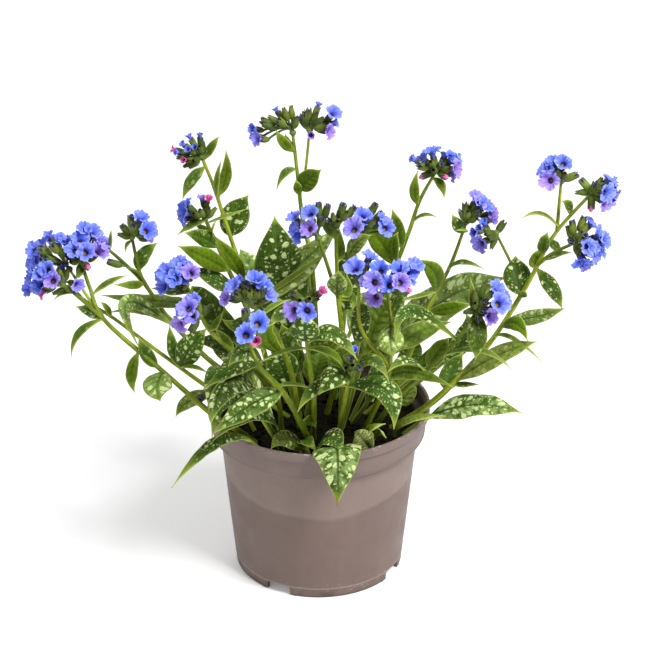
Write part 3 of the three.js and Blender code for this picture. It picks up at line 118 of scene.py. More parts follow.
# Stems: name, points from the soil to the tip, diameter at foot and at tip.
STEMS = [
  ["low_left", [[-36, -30, 98], [-52, -41, 118], [-69, -42, 131], [-103, -30, 158],
    [-140, -12, 185], [-150, 0, 203], [-156, 10, 217]], 4.4, 2.2],
  ["mid_left", [[-40, -16, 98], [-52, -22, 125], [-76, -20, 142], [-106, -8, 160], [-135, 6, 177],
    [-152, 10, 187], [-166, 12, 197]], 3.4, 1.7],
  ["high_left", [[-36, 2, 98], [-53, -6, 134], [-76, 0, 153], [-99, 4, 178], [-115, 10, 201],
    [-128, 12, 215], [-139, 12, 226]], 4, 2],
  ["front_left", [[-24, -18, 98], [-28, -36, 146], [-44, -48, 172], [-56, -52, 183],
    [-70, -52, 198], [-78, -38, 209], [-85, -20, 214]], 3.4, 1.8],
  ["tall_left", [[-20, 22, 98], [-32, 22, 150], [-50, 35, 195], [-61, 46, 225], [-70, 54, 252],
    [-78, 60, 271]], 4, 2],
  ["inner_left", [[-27, 10, 98], [-38, 12, 155], [-61, 25, 207], [-68, 28, 223], [-75, 30, 239]],
    4, 2.2],
  ["tall_middle", [[-4, 26, 98], [-2, 25, 160], [-5, 36, 206], [-11, 44, 236], [-14, 47, 264],
    [-17, 50, 292]], 4.4, 2],
  ["inner_middle", [[4, 6, 98], [15, -4, 159], [13, -8, 198], [12, -9, 219], [11, -10, 246]], 4,
    2],
  ["tall_right", [[14, 20, 98], [36, 36, 155], [50, 46, 192], [61, 52, 221], [68, 56, 242],
    [79, 60, 262]], 4, 2],
  ["inner_right", [[24, 8, 98], [51, 4, 129], [71, 12, 178], [79, 15, 194], [88, 18, 213],
    [97, 20, 241]], 4, 2],
  ["long_right", [[42, -8, 98], [67, -22, 123], [87, -22, 142], [113, -18, 173], [135, -15, 212],
    [151, -10, 244], [174, -10, 274]], 5, 2],
  ["front_right", [[32, -14, 98], [50, -36, 139], [70, -46, 166], [87, -54, 190], [100, -60, 215]],
    4, 2],
  ["near_right", [[25, -27, 98], [43, -48, 156], [46, -56, 183], [46, -60, 201], [43, -65, 229]],
    4, 2],
  ["near_left", [[-12, -12, 98], [-17, -38, 156], [-23, -48, 182], [-30, -57, 203],
    [-40, -66, 220]], 4, 2],
  ["thick_front", [[-2, -36, 98], [-15, -68, 147], [-24, -84, 172], [-35, -95, 191],
    [-42, -104, 212]], 4.4, 2.3],
  ["middle_front", [[-4, -24, 98], [-3, -62, 151], [-5, -80, 183], [-7, -94, 211],
    [-7, -100, 238]], 4, 2],
  ["short_front", [[11, -31, 98], [16, -58, 144], [19, -74, 173], [21, -80, 185]], 3.8, 2],
]

# Side shoots: name, the stem they leave, where along it, further points,
# diameter at start and at tip.
SHOOTS = [
  ["low_left_a", "low_left", 0.67, [[-153, -8, 196], [-167, -2, 206]], 2.5, 1.8],
  ["low_left_b", "low_left", 0.67, [[-151, -3, 197], [-163, 4, 214]], 2.2, 1.7],
  ["high_left_a", "high_left", 0.67, [[-119, 15, 210], [-123, 20, 230]], 2.8, 2],
  ["front_left_a", "front_left", 0.67, [[-71, -56, 204], [-74, -60, 210]], 2.4, 1.8],
  ["tall_middle_a", "tall_middle", 0.7, [[-9, 48, 265], [-6, 50, 294]], 2.1, 1.7],
  ["inner_middle_a", "inner_middle", 0.51, [[7, -12, 220], [0, -14, 244]], 2.9, 2],
  ["inner_middle_b", "inner_middle", 0.48, [[17, -5, 218], [24, -4, 238]], 2.9, 2],
  ["long_right_a", "long_right", 0.85, [[154, -6, 264], [155, -2, 278]], 2.5, 1.8],
  ["long_right_b", "long_right", 0.73, [[150, -18, 235], [163, -22, 244]], 2.8, 2],
  ["long_right_c", "long_right", 0.63, [[127, 2, 216], [116, 10, 237]], 2.2, 1.7],
  ["near_right_a", "near_right", 0.37, [[27, -62, 202], [25, -66, 235]], 2.9, 2],
  ["high_left_b", "high_left", 0.6, [[-118, 9, 209], [-126, 8, 214]], 1.8, 1.5],
  ["mid_left_b", "mid_left", 0.3, [[-72, -24, 142], [-74, -27, 142]], 1.8, 1.5],
]

# Leaves on the stems: the stem or shoot, where along it, a point on the midrib
# at half length, the tip, the width, the way the upper side faces, the kind.
STEM_LEAVES = [
  ["low_left", 0.49, [-104, -46, 154], [-102, -50, 145], 19, "front", "speckled"],
  ["low_left", 0.51, [-112, -26, 167], [-117, -24, 179], 9, "front", "dark"],
  ["low_left", 0.56, [-122, -30, 155], [-120, -34, 143], 8, "front", "olive"],
  ["low_left", 0.67, [-156, -18, 179], [-162, -20, 162], 6, "tilt", "dark"],
  ["low_left", 0.79, [-138, 4, 205], [-126, 8, 208], 5, "tilt", "dark"],
  ["low_left", 0.67, [-150, -4, 188], [-160, 0, 189], 9, "tilt", "silver"],
  ["low_left", 0.97, [-156, 2, 213], [-159, -2, 210], 5, "front", "dark"],
  ["mid_left", 0.88, [-164, 4, 199], [-174, 0, 194], 6, "tilt", "dark"],
  ["mid_left", 0.69, [-140, 6, 185], [-144, 4, 191], 5, "tilt", "olive"],
  ["mid_left", 0.42, [-82, -22, 156], [-72, -28, 154], 4, "tilt", "olive"],
  ["mid_left", 0.42, [-96, -12, 165], [-98, -6, 179], 8, "front", "dark"],
  ["mid_left", 0.42, [-84, -18, 168], [-73, -16, 181], 17, "front", "spotted"],
  ["mid_left", 0.28, [-85, -26, 133], [-94, -32, 124], 10, "front", "pale"],
  ["high_left", 0.67, [-122, 2, 204], [-134, -2, 206], 6, "front", "olive"],
  ["high_left_a", 0.45, [-116, 18, 218], [-106, 24, 225], 10, "front", "dark"],
  ["high_left", 0.46, [-125, -6, 195], [-117, -20, 168], 11, "front", "speckled"],
  ["high_left", 0.45, [-112, 10, 181], [-142, 16, 177], 8, "tilt", "pale"],
  ["high_left", 0.97, [-136, 10, 233], [-135, 8, 241], 3, "tilt", "dark"],
  ["high_left_a", 0.95, [-126, 16, 227], [-127, 14, 222], 3, "tilt", "dark"],
  ["front_left", 0.92, [-95, -14, 208], [-109, -6, 205], 10, "tilt", "silver"],
  ["front_left", 0.83, [-112, 10, 189], [-147, 30, 184], 13, "tilt", "plain"],
  ["front_left", 0.33, [-46, -66, 184], [-72, -84, 171], 21, "tilt", "spotted"],
  ["front_left", 0.65, [-64, -56, 204], [-60, -56, 211], 6, "tilt", "olive"],
  ["front_left", 0.48, [-59, -46, 187], [-67, -40, 193], 6, "tilt", "olive"],
  ["tall_left", 0.94, [-85, 52, 258], [-91, 48, 246], 8, "front", "dark"],
  ["tall_left", 0.98, [-72, 60, 278], [-66, 62, 286], 6, "front", "dark"],
  ["tall_left", 0.75, [-62, 56, 260], [-62, 60, 277], 8, "front", "olive"],
  ["tall_left", 0.75, [-68, 50, 259], [-64, 48, 275], 4, "front", "dark"],
  ["tall_left", 0.57, [-56, 50, 233], [-47, 54, 247], 20, "front", "spotted"],
  ["tall_left", 0.39, [-58, 30, 211], [-70, 30, 228], 10, "front", "olive"],
  ["tall_left", 0.38, [-42, 22, 201], [-28, 20, 210], 6, "tilt", "olive"],
  ["inner_left", 0.68, [-76, 18, 231], [-88, 14, 236], 11, "front", "dark"],
  ["inner_left", 0.48, [-74, 10, 220], [-92, 4, 231], 13, "front", "olive"],
  ["inner_left", 0.36, [-14, 14, 212], [12, 20, 236], 24, "tilt", "speckled"],
  ["inner_left", 0.36, [-14, 5, 211], [5, 7, 225], 4, "front", "plain"],
  ["inner_left", 0.41, [-69, 16, 202], [-85, 12, 212], 14, "tilt", "spotted"],
  ["inner_left", 0.96, [-61, 26, 243], [-46, 24, 249], 3, "tilt", "pale"],
  ["inner_left", 0.98, [-83, 24, 238], [-93, 22, 231], 6, "tilt", "dark"],
  ["inner_left", 0.84, [-76, 34, 230], [-84, 38, 234], 6, "tilt", "olive"],
  ["inner_left", 0.79, [-70, 20, 235], [-67, 18, 243], 4, "tilt", "olive"],
  ["tall_middle", 0.91, [-23, 46, 287], [-28, 46, 296], 7, "front", "olive"],
  ["tall_middle", 0.91, [-20, 50, 285], [-22, 52, 291], 5, "front", "pale"],
  ["tall_middle", 0.82, [-22, 44, 267], [-28, 42, 255], 6, "tilt", "dark"],
  ["tall_middle", 0.73, [-7, 40, 263], [2, 36, 272], 14, "front", "olive"],
  ["tall_middle", 0.7, [-14, 42, 257], [-15, 40, 263], 6, "front", "olive"],
  ["inner_middle_a", 0.05, [12, -18, 214], [13, -20, 224], 13, "front", "speckled"],
  ["inner_middle_b", 0.1, [19, 0, 201], [18, 4, 212], 7, "front", "olive"],
  ["inner_middle", 0.49, [22, 0, 196], [22, -4, 187], 7, "tilt", "dark"],
  ["inner_middle_b", 0.71, [25, -12, 240], [34, -14, 246], 10, "front", "pale"],
  ["inner_middle", 0.96, [6, -14, 251], [2, -16, 258], 6, "front", "dark"],
  ["inner_middle", 0.81, [14, 2, 229], [13, 8, 244], 7, "front", "olive"],
  ["tall_right", 0.51, [53, 46, 225], [49, 44, 241], 10, "front", "olive"],
  ["tall_right", 0.77, [64, 52, 251], [66, 52, 265], 7, "front", "olive"],
  ["tall_right", 0.95, [82, 54, 254], [84, 50, 246], 6, "front", "olive"],
  ["tall_right", 0.65, [70, 50, 234], [79, 46, 234], 4, "tilt", "dark"],
  ["tall_right", 0.44, [50, 38, 217], [53, 34, 228], 8, "front", "olive"],
  ["tall_right", 0.44, [40, 41, 221], [32, 38, 232], 15, "front", "olive"],
  ["inner_right", 0.75, [94, 10, 217], [109, 4, 214], 5, "tilt", "spotted"],
  ["inner_right", 0.95, [91, 16, 241], [87, 14, 249], 8, "front", "spotted"],
  ["inner_right", 0.58, [76, 4, 212], [63, -2, 224], 12, "front", "olive"],
  ["inner_right", 0.59, [65, 2, 196], [51, -6, 195], 4, "tilt", "dark"],
  ["inner_right", 0.41, [87, 2, 187], [100, -4, 193], 9, "front", "olive"],
  ["inner_right", 0.95, [96, 12, 239], [89, 8, 240], 4, "tilt", "dark"],
  ["long_right", 0.86, [142, -14, 261], [129, -18, 259], 4, "tilt", "dark"],
  ["long_right", 0.77, [144, -18, 242], [146, -20, 251], 8, "front", "dark"],
  ["long_right", 0.82, [152, -16, 239], [156, -18, 237], 6, "front", "dark"],
  ["long_right_b", 0.19, [152, -22, 236], [161, -26, 239], 6, "tilt", "silver"],
  ["long_right", 0.72, [140, -10, 227], [144, -8, 235], 8, "front", "olive"],
  ["long_right_c", 0.03, [129, -6, 215], [128, 0, 226], 18, "front", "spotted"],
  ["long_right", 0.72, [150, -26, 214], [156, -34, 203], 10, "front", "spotted"],
  ["long_right", 0.56, [140, -28, 195], [158, -36, 205], 10, "front", "speckled"],
  ["long_right", 0.63, [132, -22, 208], [133, -24, 212], 6, "front", "dark"],
  ["long_right", 0.54, [127, -34, 193], [134, -42, 184], 10, "front", "olive"],
  ["long_right", 0.35, [114, -34, 169], [140, -44, 185], 17, "tilt", "pale"],
  ["long_right", 0.51, [125, -30, 181], [145, -36, 166], 4, "tilt", "silver"],
  ["long_right", 0.31, [88, -12, 147], [96, -6, 159], 14, "front", "dark"],
  ["long_right", 0.34, [96, -26, 145], [105, -30, 147], 5, "tilt", "spotted"],
  ["long_right", 0.91, [159, -14, 267], [154, -16, 270], 6, "front", "dark"],
  ["front_right", 0.97, [99, -72, 202], [98, -76, 188], 13, "front", "dark"],
  ["front_right", 0.76, [57, -64, 216], [48, -76, 197], 9, "front", "spotted"],
  ["front_right", 0.51, [77, -40, 176], [84, -38, 185], 12, "front", "olive"],
  ["front_right", 0.6, [101, -58, 186], [123, -66, 175], 5, "tilt", "dark"],
  ["front_right", 0.48, [56, -56, 178], [43, -66, 173], 8, "tilt", "silver"],
  ["front_right", 0.84, [102, -50, 196], [108, -46, 198], 6, "front", "silver"],
  ["front_right", 0.97, [97, -56, 220], [95, -54, 234], 6, "front", "dark"],
  ["near_right", 0.78, [45, -74, 199], [47, -80, 192], 17, "front", "speckled"],
  ["near_right", 0.27, [59, -46, 164], [87, -56, 158], 10, "front", "plain"],
  ["near_right", 0.51, [63, -46, 192], [85, -40, 197], 14, "front", "plain"],
  ["near_right", 0.84, [50, -58, 217], [51, -54, 227], 8, "front", "dark"],
  ["near_left", 0.87, [-28, -54, 215], [-17, -50, 217], 4, "tilt", "olive"],
  ["near_left", 0.43, [-32, -56, 193], [-27, -58, 205], 11, "front", "olive"],
  ["near_left", 0.96, [-49, -60, 204], [-61, -56, 207], 10, "front", "dark"],
  ["near_left", 0.76, [-22, -50, 209], [-12, -48, 216], 8, "front", "spotted"],
  ["thick_front", 0.46, [-41, -96, 167], [-66, -104, 150], 18, "tilt", "silver"],
  ["thick_front", 0.51, [-17, -72, 169], [-4, -62, 160], 4, "tilt", "dark"],
  ["thick_front", 0.89, [-46, -100, 205], [-55, -102, 196], 11, "front", "silver"],
  ["thick_front", 0.17, [-5, -50, 131], [-2, -48, 124], 8, "front", "olive"],
  ["thick_front", 0.97, [-34, -98, 208], [-34, -96, 200], 6, "tilt", "olive"],
  ["middle_front", 0.73, [-8, -107, 223], [-7, -106, 235], 18, "front", "spotted"],
  ["middle_front", 0.67, [-20, -92, 202], [-37, -96, 195], 6, "up", "olive"],
  ["middle_front", 0.67, [9, -84, 196], [17, -84, 182], 6, "tilt", "olive"],
  ["middle_front", 0.71, [8, -96, 216], [24, -104, 201], 13, "tilt", "spotted"],
  ["middle_front", 0.73, [-15, -84, 212], [-22, -80, 207], 6, "tilt", "dark"],
  ["short_front", 0.57, [0, -82, 172], [-13, -90, 158], 10, "tilt", "spotted"],
  ["short_front", 0.57, [42, -84, 171], [47, -96, 149], 18, "tilt", "spotted"],
  ["short_front", 0.74, [10, -88, 182], [0, -94, 172], 17, "tilt", "spotted"],
  ["short_front", 0.77, [33, -84, 192], [44, -88, 178], 10, "tilt", "dark"],
]

# Leaves from the crown: name, foot at the soil (x, y), midrib point at half
# length, tip, width, facing, the bare part of the stalk, the kind.
CROWN_LEAVES = [
  ["spotted_back", [-10, 36], [-22, 12, 183], [-29, 26, 243], 36, "front", 0.36, "spotted"],
  ["spotted_back", [-10, 36], [-16, 44, 124], [-35, 56, 145], 19, "front", 0.4, "dark"],
  ["back_middle", [10, 30], [18, 14, 183], [21, 26, 222], 17, "tilt", 0.45, "spotted"],
  ["back_middle", [10, 30], [8, 32, 133], [3, 38, 153], 20, "front", 0.4, "plain"],
  ["back_middle", [10, 30], [23, 32, 130], [29, 36, 149], 19, "front", 0.4, "dark"],
  ["back_left", [-24, 42], [-37, 44, 169], [-54, 60, 205], 22, "tilt", 0.5, "speckled"],
  ["back_left", [-24, 42], [-68, 46, 156], [-87, 52, 181], 20, "tilt", 0.35, "dark"],
  ["back_left", [-24, 42], [-43, 50, 117], [-61, 62, 143], 17, "tilt", 0.4, "plain"],
  ["back_left", [-24, 42], [-51, 46, 124], [-76, 54, 134], 17, "tilt", 0.4, "spotted"],
  ["back_left", [-24, 42], [-52, 46, 129], [-65, 50, 167], 14, "front", 0.5, "plain"],
  ["right_fan", [34, 20], [66, 40, 159], [127, 30, 197], 34, "tilt", 0.33, "speckled"],
  ["right_fan", [34, 20], [54, 70, 127], [80, 104, 129], 17, "tilt", 0.4, "plain"],
  ["right_fan", [34, 20], [44, 58, 150], [66, 88, 182], 20, "tilt", 0.4, "spotted"],
  ["right_fan", [34, 20], [74, 24, 136], [106, 34, 150], 18, "tilt", 0.35, "dark"],
  ["right_fan", [34, 20], [91, 26, 142], [99, 26, 172], 14, "front", 0.4, "spotted"],
  ["right_fan", [34, 20], [57, 20, 110], [62, 24, 124], 13, "front", 0.3, "pale"],
  ["right_fan", [34, 20], [58, 30, 131], [67, 38, 147], 15, "front", 0.4, "dark"],
  ["right_fan", [34, 20], [61, 34, 121], [70, 46, 134], 9, "tilt", 0.5, "dry"],
  ["back_fan", [-14, 48], [-32, 66, 150], [-50, 84, 180], 20, "tilt", 0.4, "spotted"],
  ["back_fan", [-14, 48], [-14, 70, 158], [-20, 92, 192], 20, "tilt", 0.4, "spotted"],
  ["back_fan", [-14, 48], [-52, 54, 130], [-88, 58, 136], 17, "tilt", 0.35, "dark"],
  ["inner_pair", [-10, 4], [-3, 0, 144], [1, 6, 172], 15, "front", 0.45, "dark"],
  ["inner_pair", [-10, 4], [-16, 4, 140], [-25, 8, 174], 15, "front", 0.45, "dark"],
  ["inner_pair", [-10, 4], [-22, -8, 142], [-28, -4, 159], 22, "front", 0.4, "spotted"],
  ["inner_pair", [-10, 4], [-2, -8, 141], [2, -4, 158], 20, "front", 0.4, "plain"],
  ["inner_pair", [-10, 4], [-38, -4, 124], [-50, -6, 144], 17, "tilt", 0.4, "olive"],
  ["low_right_pair", [50, -20], [90, -30, 130], [133, -40, 131], 19, "tilt", 0.3, "blotched"],
  ["low_right_pair", [50, -20], [57, -40, 125], [83, -44, 131], 6, "tilt", 0.2, "pale"],
  ["over_rim", [8, -50], [12, -82, 126], [12, -97, 94], 31, "front", 0.1, "blotched"],
  ["rim_pair", [-4, -50], [6, -68, 129], [16, -78, 121], 18, "tilt", 0.05, "spotted"],
  ["rim_pair", [-4, -50], [-19, -52, 118], [-31, -60, 115], 14, "tilt", 0.1, "mossy"],
  ["rim_pair", [-4, -50], [-9, -58, 121], [-1, -67, 117], 11, "tilt", 0.2, "dark"],
  ["low_front_pair", [36, -36], [29, -60, 122], [23, -60, 128], 15, "front", 0.1, "fading"],
  ["low_front_pair", [36, -36], [30, -56, 124], [43, -62, 135], 6, "tilt", 0.3, "olive"],
  ["low_front_pair", [36, -36], [36, -44, 120], [44, -50, 118], 10, "front", 0.2, "pale"],
  ["front_left_pair", [-22, -42], [-50, -66, 170], [-67, -92, 151], 31, "tilt", 0.3, "silver"],
  ["front_left_pair", [-22, -42], [-36, -60, 142], [-67, -84, 134], 14, "tilt", 0.1, "spotted"],
  ["front_left_pair", [-22, -42], [-52, -72, 163], [-67, -86, 138], 24, "front", 0.2, "spotted"],
  ["front_left_pair", [-22, -42], [-44, -60, 163], [-69, -74, 166], 20, "tilt", 0.12, "speckled"],
  ["trailing_left", [-34, -46], [-58, -69, 129], [-93, -94, 106], 9, "tilt", 0.25, "spotted"],
  ["upright_right", [14, -14], [25, -50, 185], [26, -52, 217], 13, "front", 0.5, "spotted"],
  ["upright_right", [14, -14], [34, -20, 176], [47, -22, 203], 22, "front", 0.4, "plain"],
  ["upright_right", [14, -14], [15, -18, 147], [13, -16, 168], 17, "front", 0.4, "plain"],
  ["upright_pale", [18, -4], [37, -40, 152], [37, -42, 179], 13, "front", 0.3, "silver"],
  ["upright_pale", [18, -4], [40, -8, 160], [42, -2, 183], 20, "front", 0.4, "dark"],
  ["rear_pair", [0, 49], [-28, 84, 132], [-37, 124, 137], 18, "tilt", 0.4, "spotted"],
  ["rear_pair", [0, 49], [26, 90, 137], [32, 122, 144], 18, "tilt", 0.4, "speckled"],
]

# Flower heads: the stem or shoot whose tip carries them, and each flower,
# calyx or bud as the offset of its mouth from that tip, its colour and size.
HEADS = [
  ["low_left_a", [[-5, -18, 12, "purple", 1], [-16, -10, 5, "blue", 1], [-9, -14, 18, "blue", 1],
    [-23, -2, 9, "blue", 1], [-17, -4, -5, "rose", 0.9], [-1, 6, 13, "blue", 0.8],
    [11, -6, 2, "violet", 0.8], [-2, -6, 14, "calyx", 1], [4, -2, 12, "calyx", 1],
    [0, -12, 11, "calyx", 1], [-14, -14, 15, "blue", 0.95], [-20, -6, 0, "blue", 0.9]]],
  ["mid_left", [[-27, -8, 3, "blue", 0.8], [2, -14, 6, "calyx", 1], [-10, -2, -3, "calyx", 1]]],
  ["low_left_b", [[-24, -4, 17, "blue", 1], [-19, 2, 20, "blue", 1], [-8, 4, 22, "blue", 1],
    [-22, -8, 11, "blue", 0.9], [-17, -12, 21, "calyx", 1], [-14, -14, 15, "calyx", 1],
    [-9, -14, 24, "calyx", 1], [-5, -8, 20, "calyx", 1], [-26, -4, 7, "blue", 0.9],
    [-13, 2, 25, "blue", 0.7], [-2, 4, 21, "blue", 0.8]]],
  ["low_left", [[-2, -18, 17, "blue", 0.9], [6, -19, 16, "blue", 1], [2, -10, 22, "blue", 1],
    [10, 0, 24, "blue", 1], [14, -6, 11, "purple", 1.1], [11, 6, 17, "violet", 1],
    [-8, -8, 8, "faded", 1], [-5, -14, 6, "calyx", 1], [-2, -4, -8, "calyx", 1],
    [5, -8, 0, "bud", 1], [4, -4, 27, "blue", 0.95], [16, 0, 15, "violet", 0.9]]],
  ["high_left_a", [[8, -4, 19, "blue", 1], [13, -10, 10, "blue", 1], [0, -2, 16, "faded", 1],
    [2, -12, 15, "calyx", 1], [-5, 2, 6, "faded", 1], [-8, -4, 4, "calyx", 1],
    [6, -2, 9, "calyx", 1], [13, -2, 0, "purple", 0.6]]],
  ["front_left", [[-16, -10, 3, "blue", 1], [-13, -12, 15, "blue", 1], [-5, 0, 18, "blue", 1],
    [-7, -18, 13, "blue", 1], [4, -16, 17, "purple", 1], [-11, 4, 14, "blue", 0.9],
    [-13, -2, -1, "calyx", 1], [-3, -8, 0, "calyx", 1], [-9, 2, -1, "calyx", 1],
    [-18, -4, 9, "blue", 0.9], [0, -6, 16, "blue", 0.9], [-2, -14, 12, "blue", 0.8]]],
  ["front_left_a", [[-7, -16, 14, "violet", 1.1], [-14, -10, -2, "purple", 0.9],
    [-5, -2, 13, "blue", 0.9], [-6, -6, -8, "calyx", 1], [4, 4, 3, "calyx", 1],
    [-2, 2, 8, "calyx", 1], [-12, -8, 10, "blue", 0.9], [-5, -14, 7, "violet", 0.85]]],
  ["tall_left", [[-19, 0, 6, "rose", 0.45], [-11, -12, 3, "rose", 0.5], [-16, -8, 7, "blue", 0.4],
    [-8, -14, 11, "blue", 0.5], [-12, -6, 12, "blue", 0.4], [-4, -10, 11, "blue", 0.4],
    [-8, 0, 15, "blue", 0.5], [-1, 0, 16, "blue", 0.4], [-17, -2, 1, "calyx", 1],
    [-12, -6, -4, "calyx", 1], [-8, -8, -4, "calyx", 1], [-5, -14, 3, "calyx", 1],
    [1, 2, 11, "calyx", 1], [-1, -10, 12, "calyx", 1]]],
  ["inner_left", [[-15, -6, 8, "blue", 1.1], [-2, 0, 16, "purple", 0.6], [3, -4, 17, "rose", 0.6],
    [-16, -2, 0, "violet", 0.8], [-11, -8, 12, "calyx", 1], [-7, -12, 9, "calyx", 1],
    [3, -6, 11, "calyx", 1], [7, 2, 7, "calyx", 1], [-3, -8, 10, "calyx", 1],
    [-14, 3, 11, "blue", 0.8]]],
  ["tall_middle", [[-27, -4, 5, "blue", 0.7], [-25, -8, -1, "violet", 0.8],
    [-21, -2, 10, "calyx", 1], [-16, 0, 12, "calyx", 1], [-20, -6, 8, "calyx", 1],
    [-10, -8, 13, "calyx", 1], [-6, -2, 18, "calyx", 1], [-1, 0, 19, "calyx", 1],
    [3, -4, 13, "calyx", 1], [-11, 4, 15, "blue", 0.4], [-28, -2, -1, "violet", 0.6]]],
  ["tall_middle_a", [[17, -4, 15, "blue", 0.9], [15, -8, 2, "purple", 0.9],
    [1, -10, 0, "purple", 0.6], [6, 2, 17, "blue", 0.5], [-4, -2, 13, "calyx", 1],
    [-1, 0, 15, "calyx", 1], [5, -4, 14, "calyx", 1], [9, -6, 11, "calyx", 1],
    [10, -8, 6, "calyx", 1], [-6, 4, 6, "blue", 0.4], [18, -2, 6, "blue", 0.7]]],
  ["inner_middle_a", [[-17, 0, 16, "blue", 0.8], [-6, -10, 23, "blue", 1],
    [-7, -14, 13, "purple", 0.9], [-15, -8, 5, "blue", 0.9], [0, 2, 23, "faded", 1],
    [6, 4, 21, "faded", 1], [2, -10, 19, "calyx", 1], [-17, -4, 9, "blue", 0.8]]],
  ["inner_middle", [[-2, 2, 13, "calyx", 1], [-5, -8, 12, "calyx", 1], [3, 4, 13, "calyx", 1],
    [5, 2, 19, "faded", 1], [7, -14, 20, "calyx", 1], [12, 2, 17, "faded", 1],
    [1, -12, 13, "calyx", 1]]],
  ["inner_middle_b", [[5, -8, 23, "blue", 1], [-2, -16, 16, "violet", 1.1],
    [19, -4, 18, "blue", 0.8], [20, -10, 14, "blue", 0.9], [10, 2, 21, "calyx", 1],
    [13, 6, 23, "faded", 1], [12, -8, 18, "calyx", 1], [17, 6, 17, "faded", 1],
    [8, -4, 17, "blue", 0.85]]],
  ["tall_right", [[-17, 0, 9, "blue", 0.7], [-9, 4, 7, "blue", 0.9], [-3, 2, 11, "blue", 1],
    [5, 4, 8, "blue", 0.9], [12, 0, 11, "blue", 1], [15, -6, 4, "purple", 1],
    [-13, -10, 7, "calyx", 1], [-9, -8, 8, "calyx", 1], [-5, -12, 11, "calyx", 1],
    [-3, -12, 5, "calyx", 1], [3, -8, 8, "calyx", 1], [8, 2, 7, "calyx", 1],
    [8, -10, 5, "calyx", 1], [-10, -4, -3, "bud", 1], [4, -6, -1, "bud", 1],
    [12, 0, -3, "violet", 0.85], [17, 4, 6, "blue", 0.8]]],
  ["inner_right", [[7, 0, 20, "violet", 1], [13, -6, 16, "blue", 1], [18, -4, 9, "purple", 0.9],
    [18, -8, 5, "purple", 0.7], [-1, 2, 13, "calyx", 1], [4, 4, 12, "calyx", 1],
    [-4, -2, 9, "calyx", 1], [0, -10, 12, "calyx", 1], [7, -10, 11, "calyx", 1],
    [6, -10, 7, "calyx", 1], [9, -4, 17, "violet", 0.8]]],
  ["long_right_c", [[-16, -8, 4, "blue", 0.7], [-13, -10, -4, "violet", 1],
    [-9, 0, 9, "blue", 0.7], [-8, -8, 3, "calyx", 1], [-6, -10, 0, "calyx", 1],
    [-3, -4, -8, "calyx", 1], [3, 4, 3, "calyx", 1], [-12, -4, 6, "blue", 0.65]]],
  ["long_right_a", [[-8, 0, 16, "blue", 1], [0, -8, 17, "blue", 0.9], [-14, -4, 10, "blue", 0.8],
    [-10, -12, 6, "purple", 1], [-5, -10, 12, "calyx", 1], [1, -8, 9, "calyx", 1],
    [6, 2, 3, "calyx", 1], [10, 0, 5, "faded", 1], [-12, -6, 12, "blue", 0.85]]],
  ["long_right", [[11, 0, 10, "blue", 0.8], [18, 4, 3, "blue", 1], [9, -12, 4, "blue", 1],
    [7, -8, -4, "purple", 0.9], [17, 0, -5, "violet", 0.9], [1, -6, 8, "calyx", 1],
    [6, 2, 9, "calyx", 1], [7, -8, 8, "calyx", 1], [-5, 2, 5, "faded", 1],
    [-10, 4, -2, "calyx", 1], [-1, -6, -9, "bud", 1], [12, -2, 10, "blue", 0.8],
    [12, -4, -5, "violet", 0.7]]],
  ["long_right_b", [[12, 4, 13, "blue", 0.8], [18, 0, 6, "blue", 1], [21, 0, -4, "blue", 1],
    [8, -14, 3, "blue", 0.9], [15, -8, -6, "blue", 0.9], [4, -10, -10, "blue", 1],
    [-5, 4, 10, "calyx", 1], [-2, 2, 14, "faded", 1], [8, 2, 12, "calyx", 1],
    [6, 6, 15, "faded", 1], [3, -8, 11, "calyx", 1], [5, -12, 10, "faded", 1],
    [-4, -10, 6, "calyx", 1], [3, -2, -8, "calyx", 1], [9, -6, -15, "violet", 0.8],
    [21, -4, 4, "blue", 0.85], [12, -10, 1, "blue", 0.85]]],
  ["front_right", [[13, 0, 16, "blue", 1], [13, -12, 10, "blue", 1.1], [8, -12, 0, "purple", 0.9],
    [20, 4, 7, "blue", 0.8], [-3, 2, 12, "calyx", 1], [3, 2, 16, "calyx", 1],
    [7, -4, 14, "calyx", 1], [4, -10, 10, "calyx", 1], [-3, -8, 8, "calyx", 1],
    [3, -12, 5, "calyx", 1], [-4, -2, 0, "calyx", 1], [0, -8, -2, "calyx", 1]]],
  ["near_right", [[-6, -14, 22, "blue", 1.05], [-10, -20, 16, "violet", 1.05],
    [-1, -20, 15, "blue", 0.95], [-8, -10, 1, "purple", 1], [7, -8, 22, "blue", 1],
    [8, -20, 16, "purple", 1.05], [14, -4, 17, "blue", 1.1], [13, -2, 2, "bud", 1],
    [3, -4, 14, "calyx", 1], [18, 0, 20, "blue", 0.9], [16, 0, 10, "blue", 0.8],
    [-15, -10, 13, "violet", 0.8]]],
  ["near_right_a", [[-3, -6, 14, "blue", 1.1], [8, 2, 20, "blue", 0.9], [2, 4, 3, "bud", 1],
    [5, -6, 16, "calyx", 1]]],
  ["near_left", [[-19, -6, 9, "purple", 0.9], [-14, -4, 17, "blue", 0.9],
    [-10, 2, 17, "blue", 0.7], [2, -2, 21, "blue", 1.1], [10, 0, 8, "blue", 0.9],
    [-12, -10, 13, "calyx", 1], [-7, -8, 15, "calyx", 1], [-2, -14, 17, "calyx", 1],
    [3, -14, 17, "calyx", 1], [7, -8, 15, "calyx", 1], [-6, -2, 17, "faded", 1],
    [-3, -4, 15, "faded", 1], [7, 0, 16, "blue", 0.9], [-5, -2, 16, "blue", 0.6]]],
  ["thick_front", [[-1, -18, 16, "blue", 1.1], [7, -12, 21, "blue", 1.1], [5, -14, 9, "rose", 0.7],
    [-2, -2, 24, "faded", 1], [3, 2, 19, "faded", 1], [-5, 2, 14, "calyx", 1],
    [3, -8, 17, "blue", 0.8]]],
  ["middle_front", [[-9, -12, 0, "purple", 1], [0, -18, 2, "blue", 1], [10, -6, 11, "rose", 0.7],
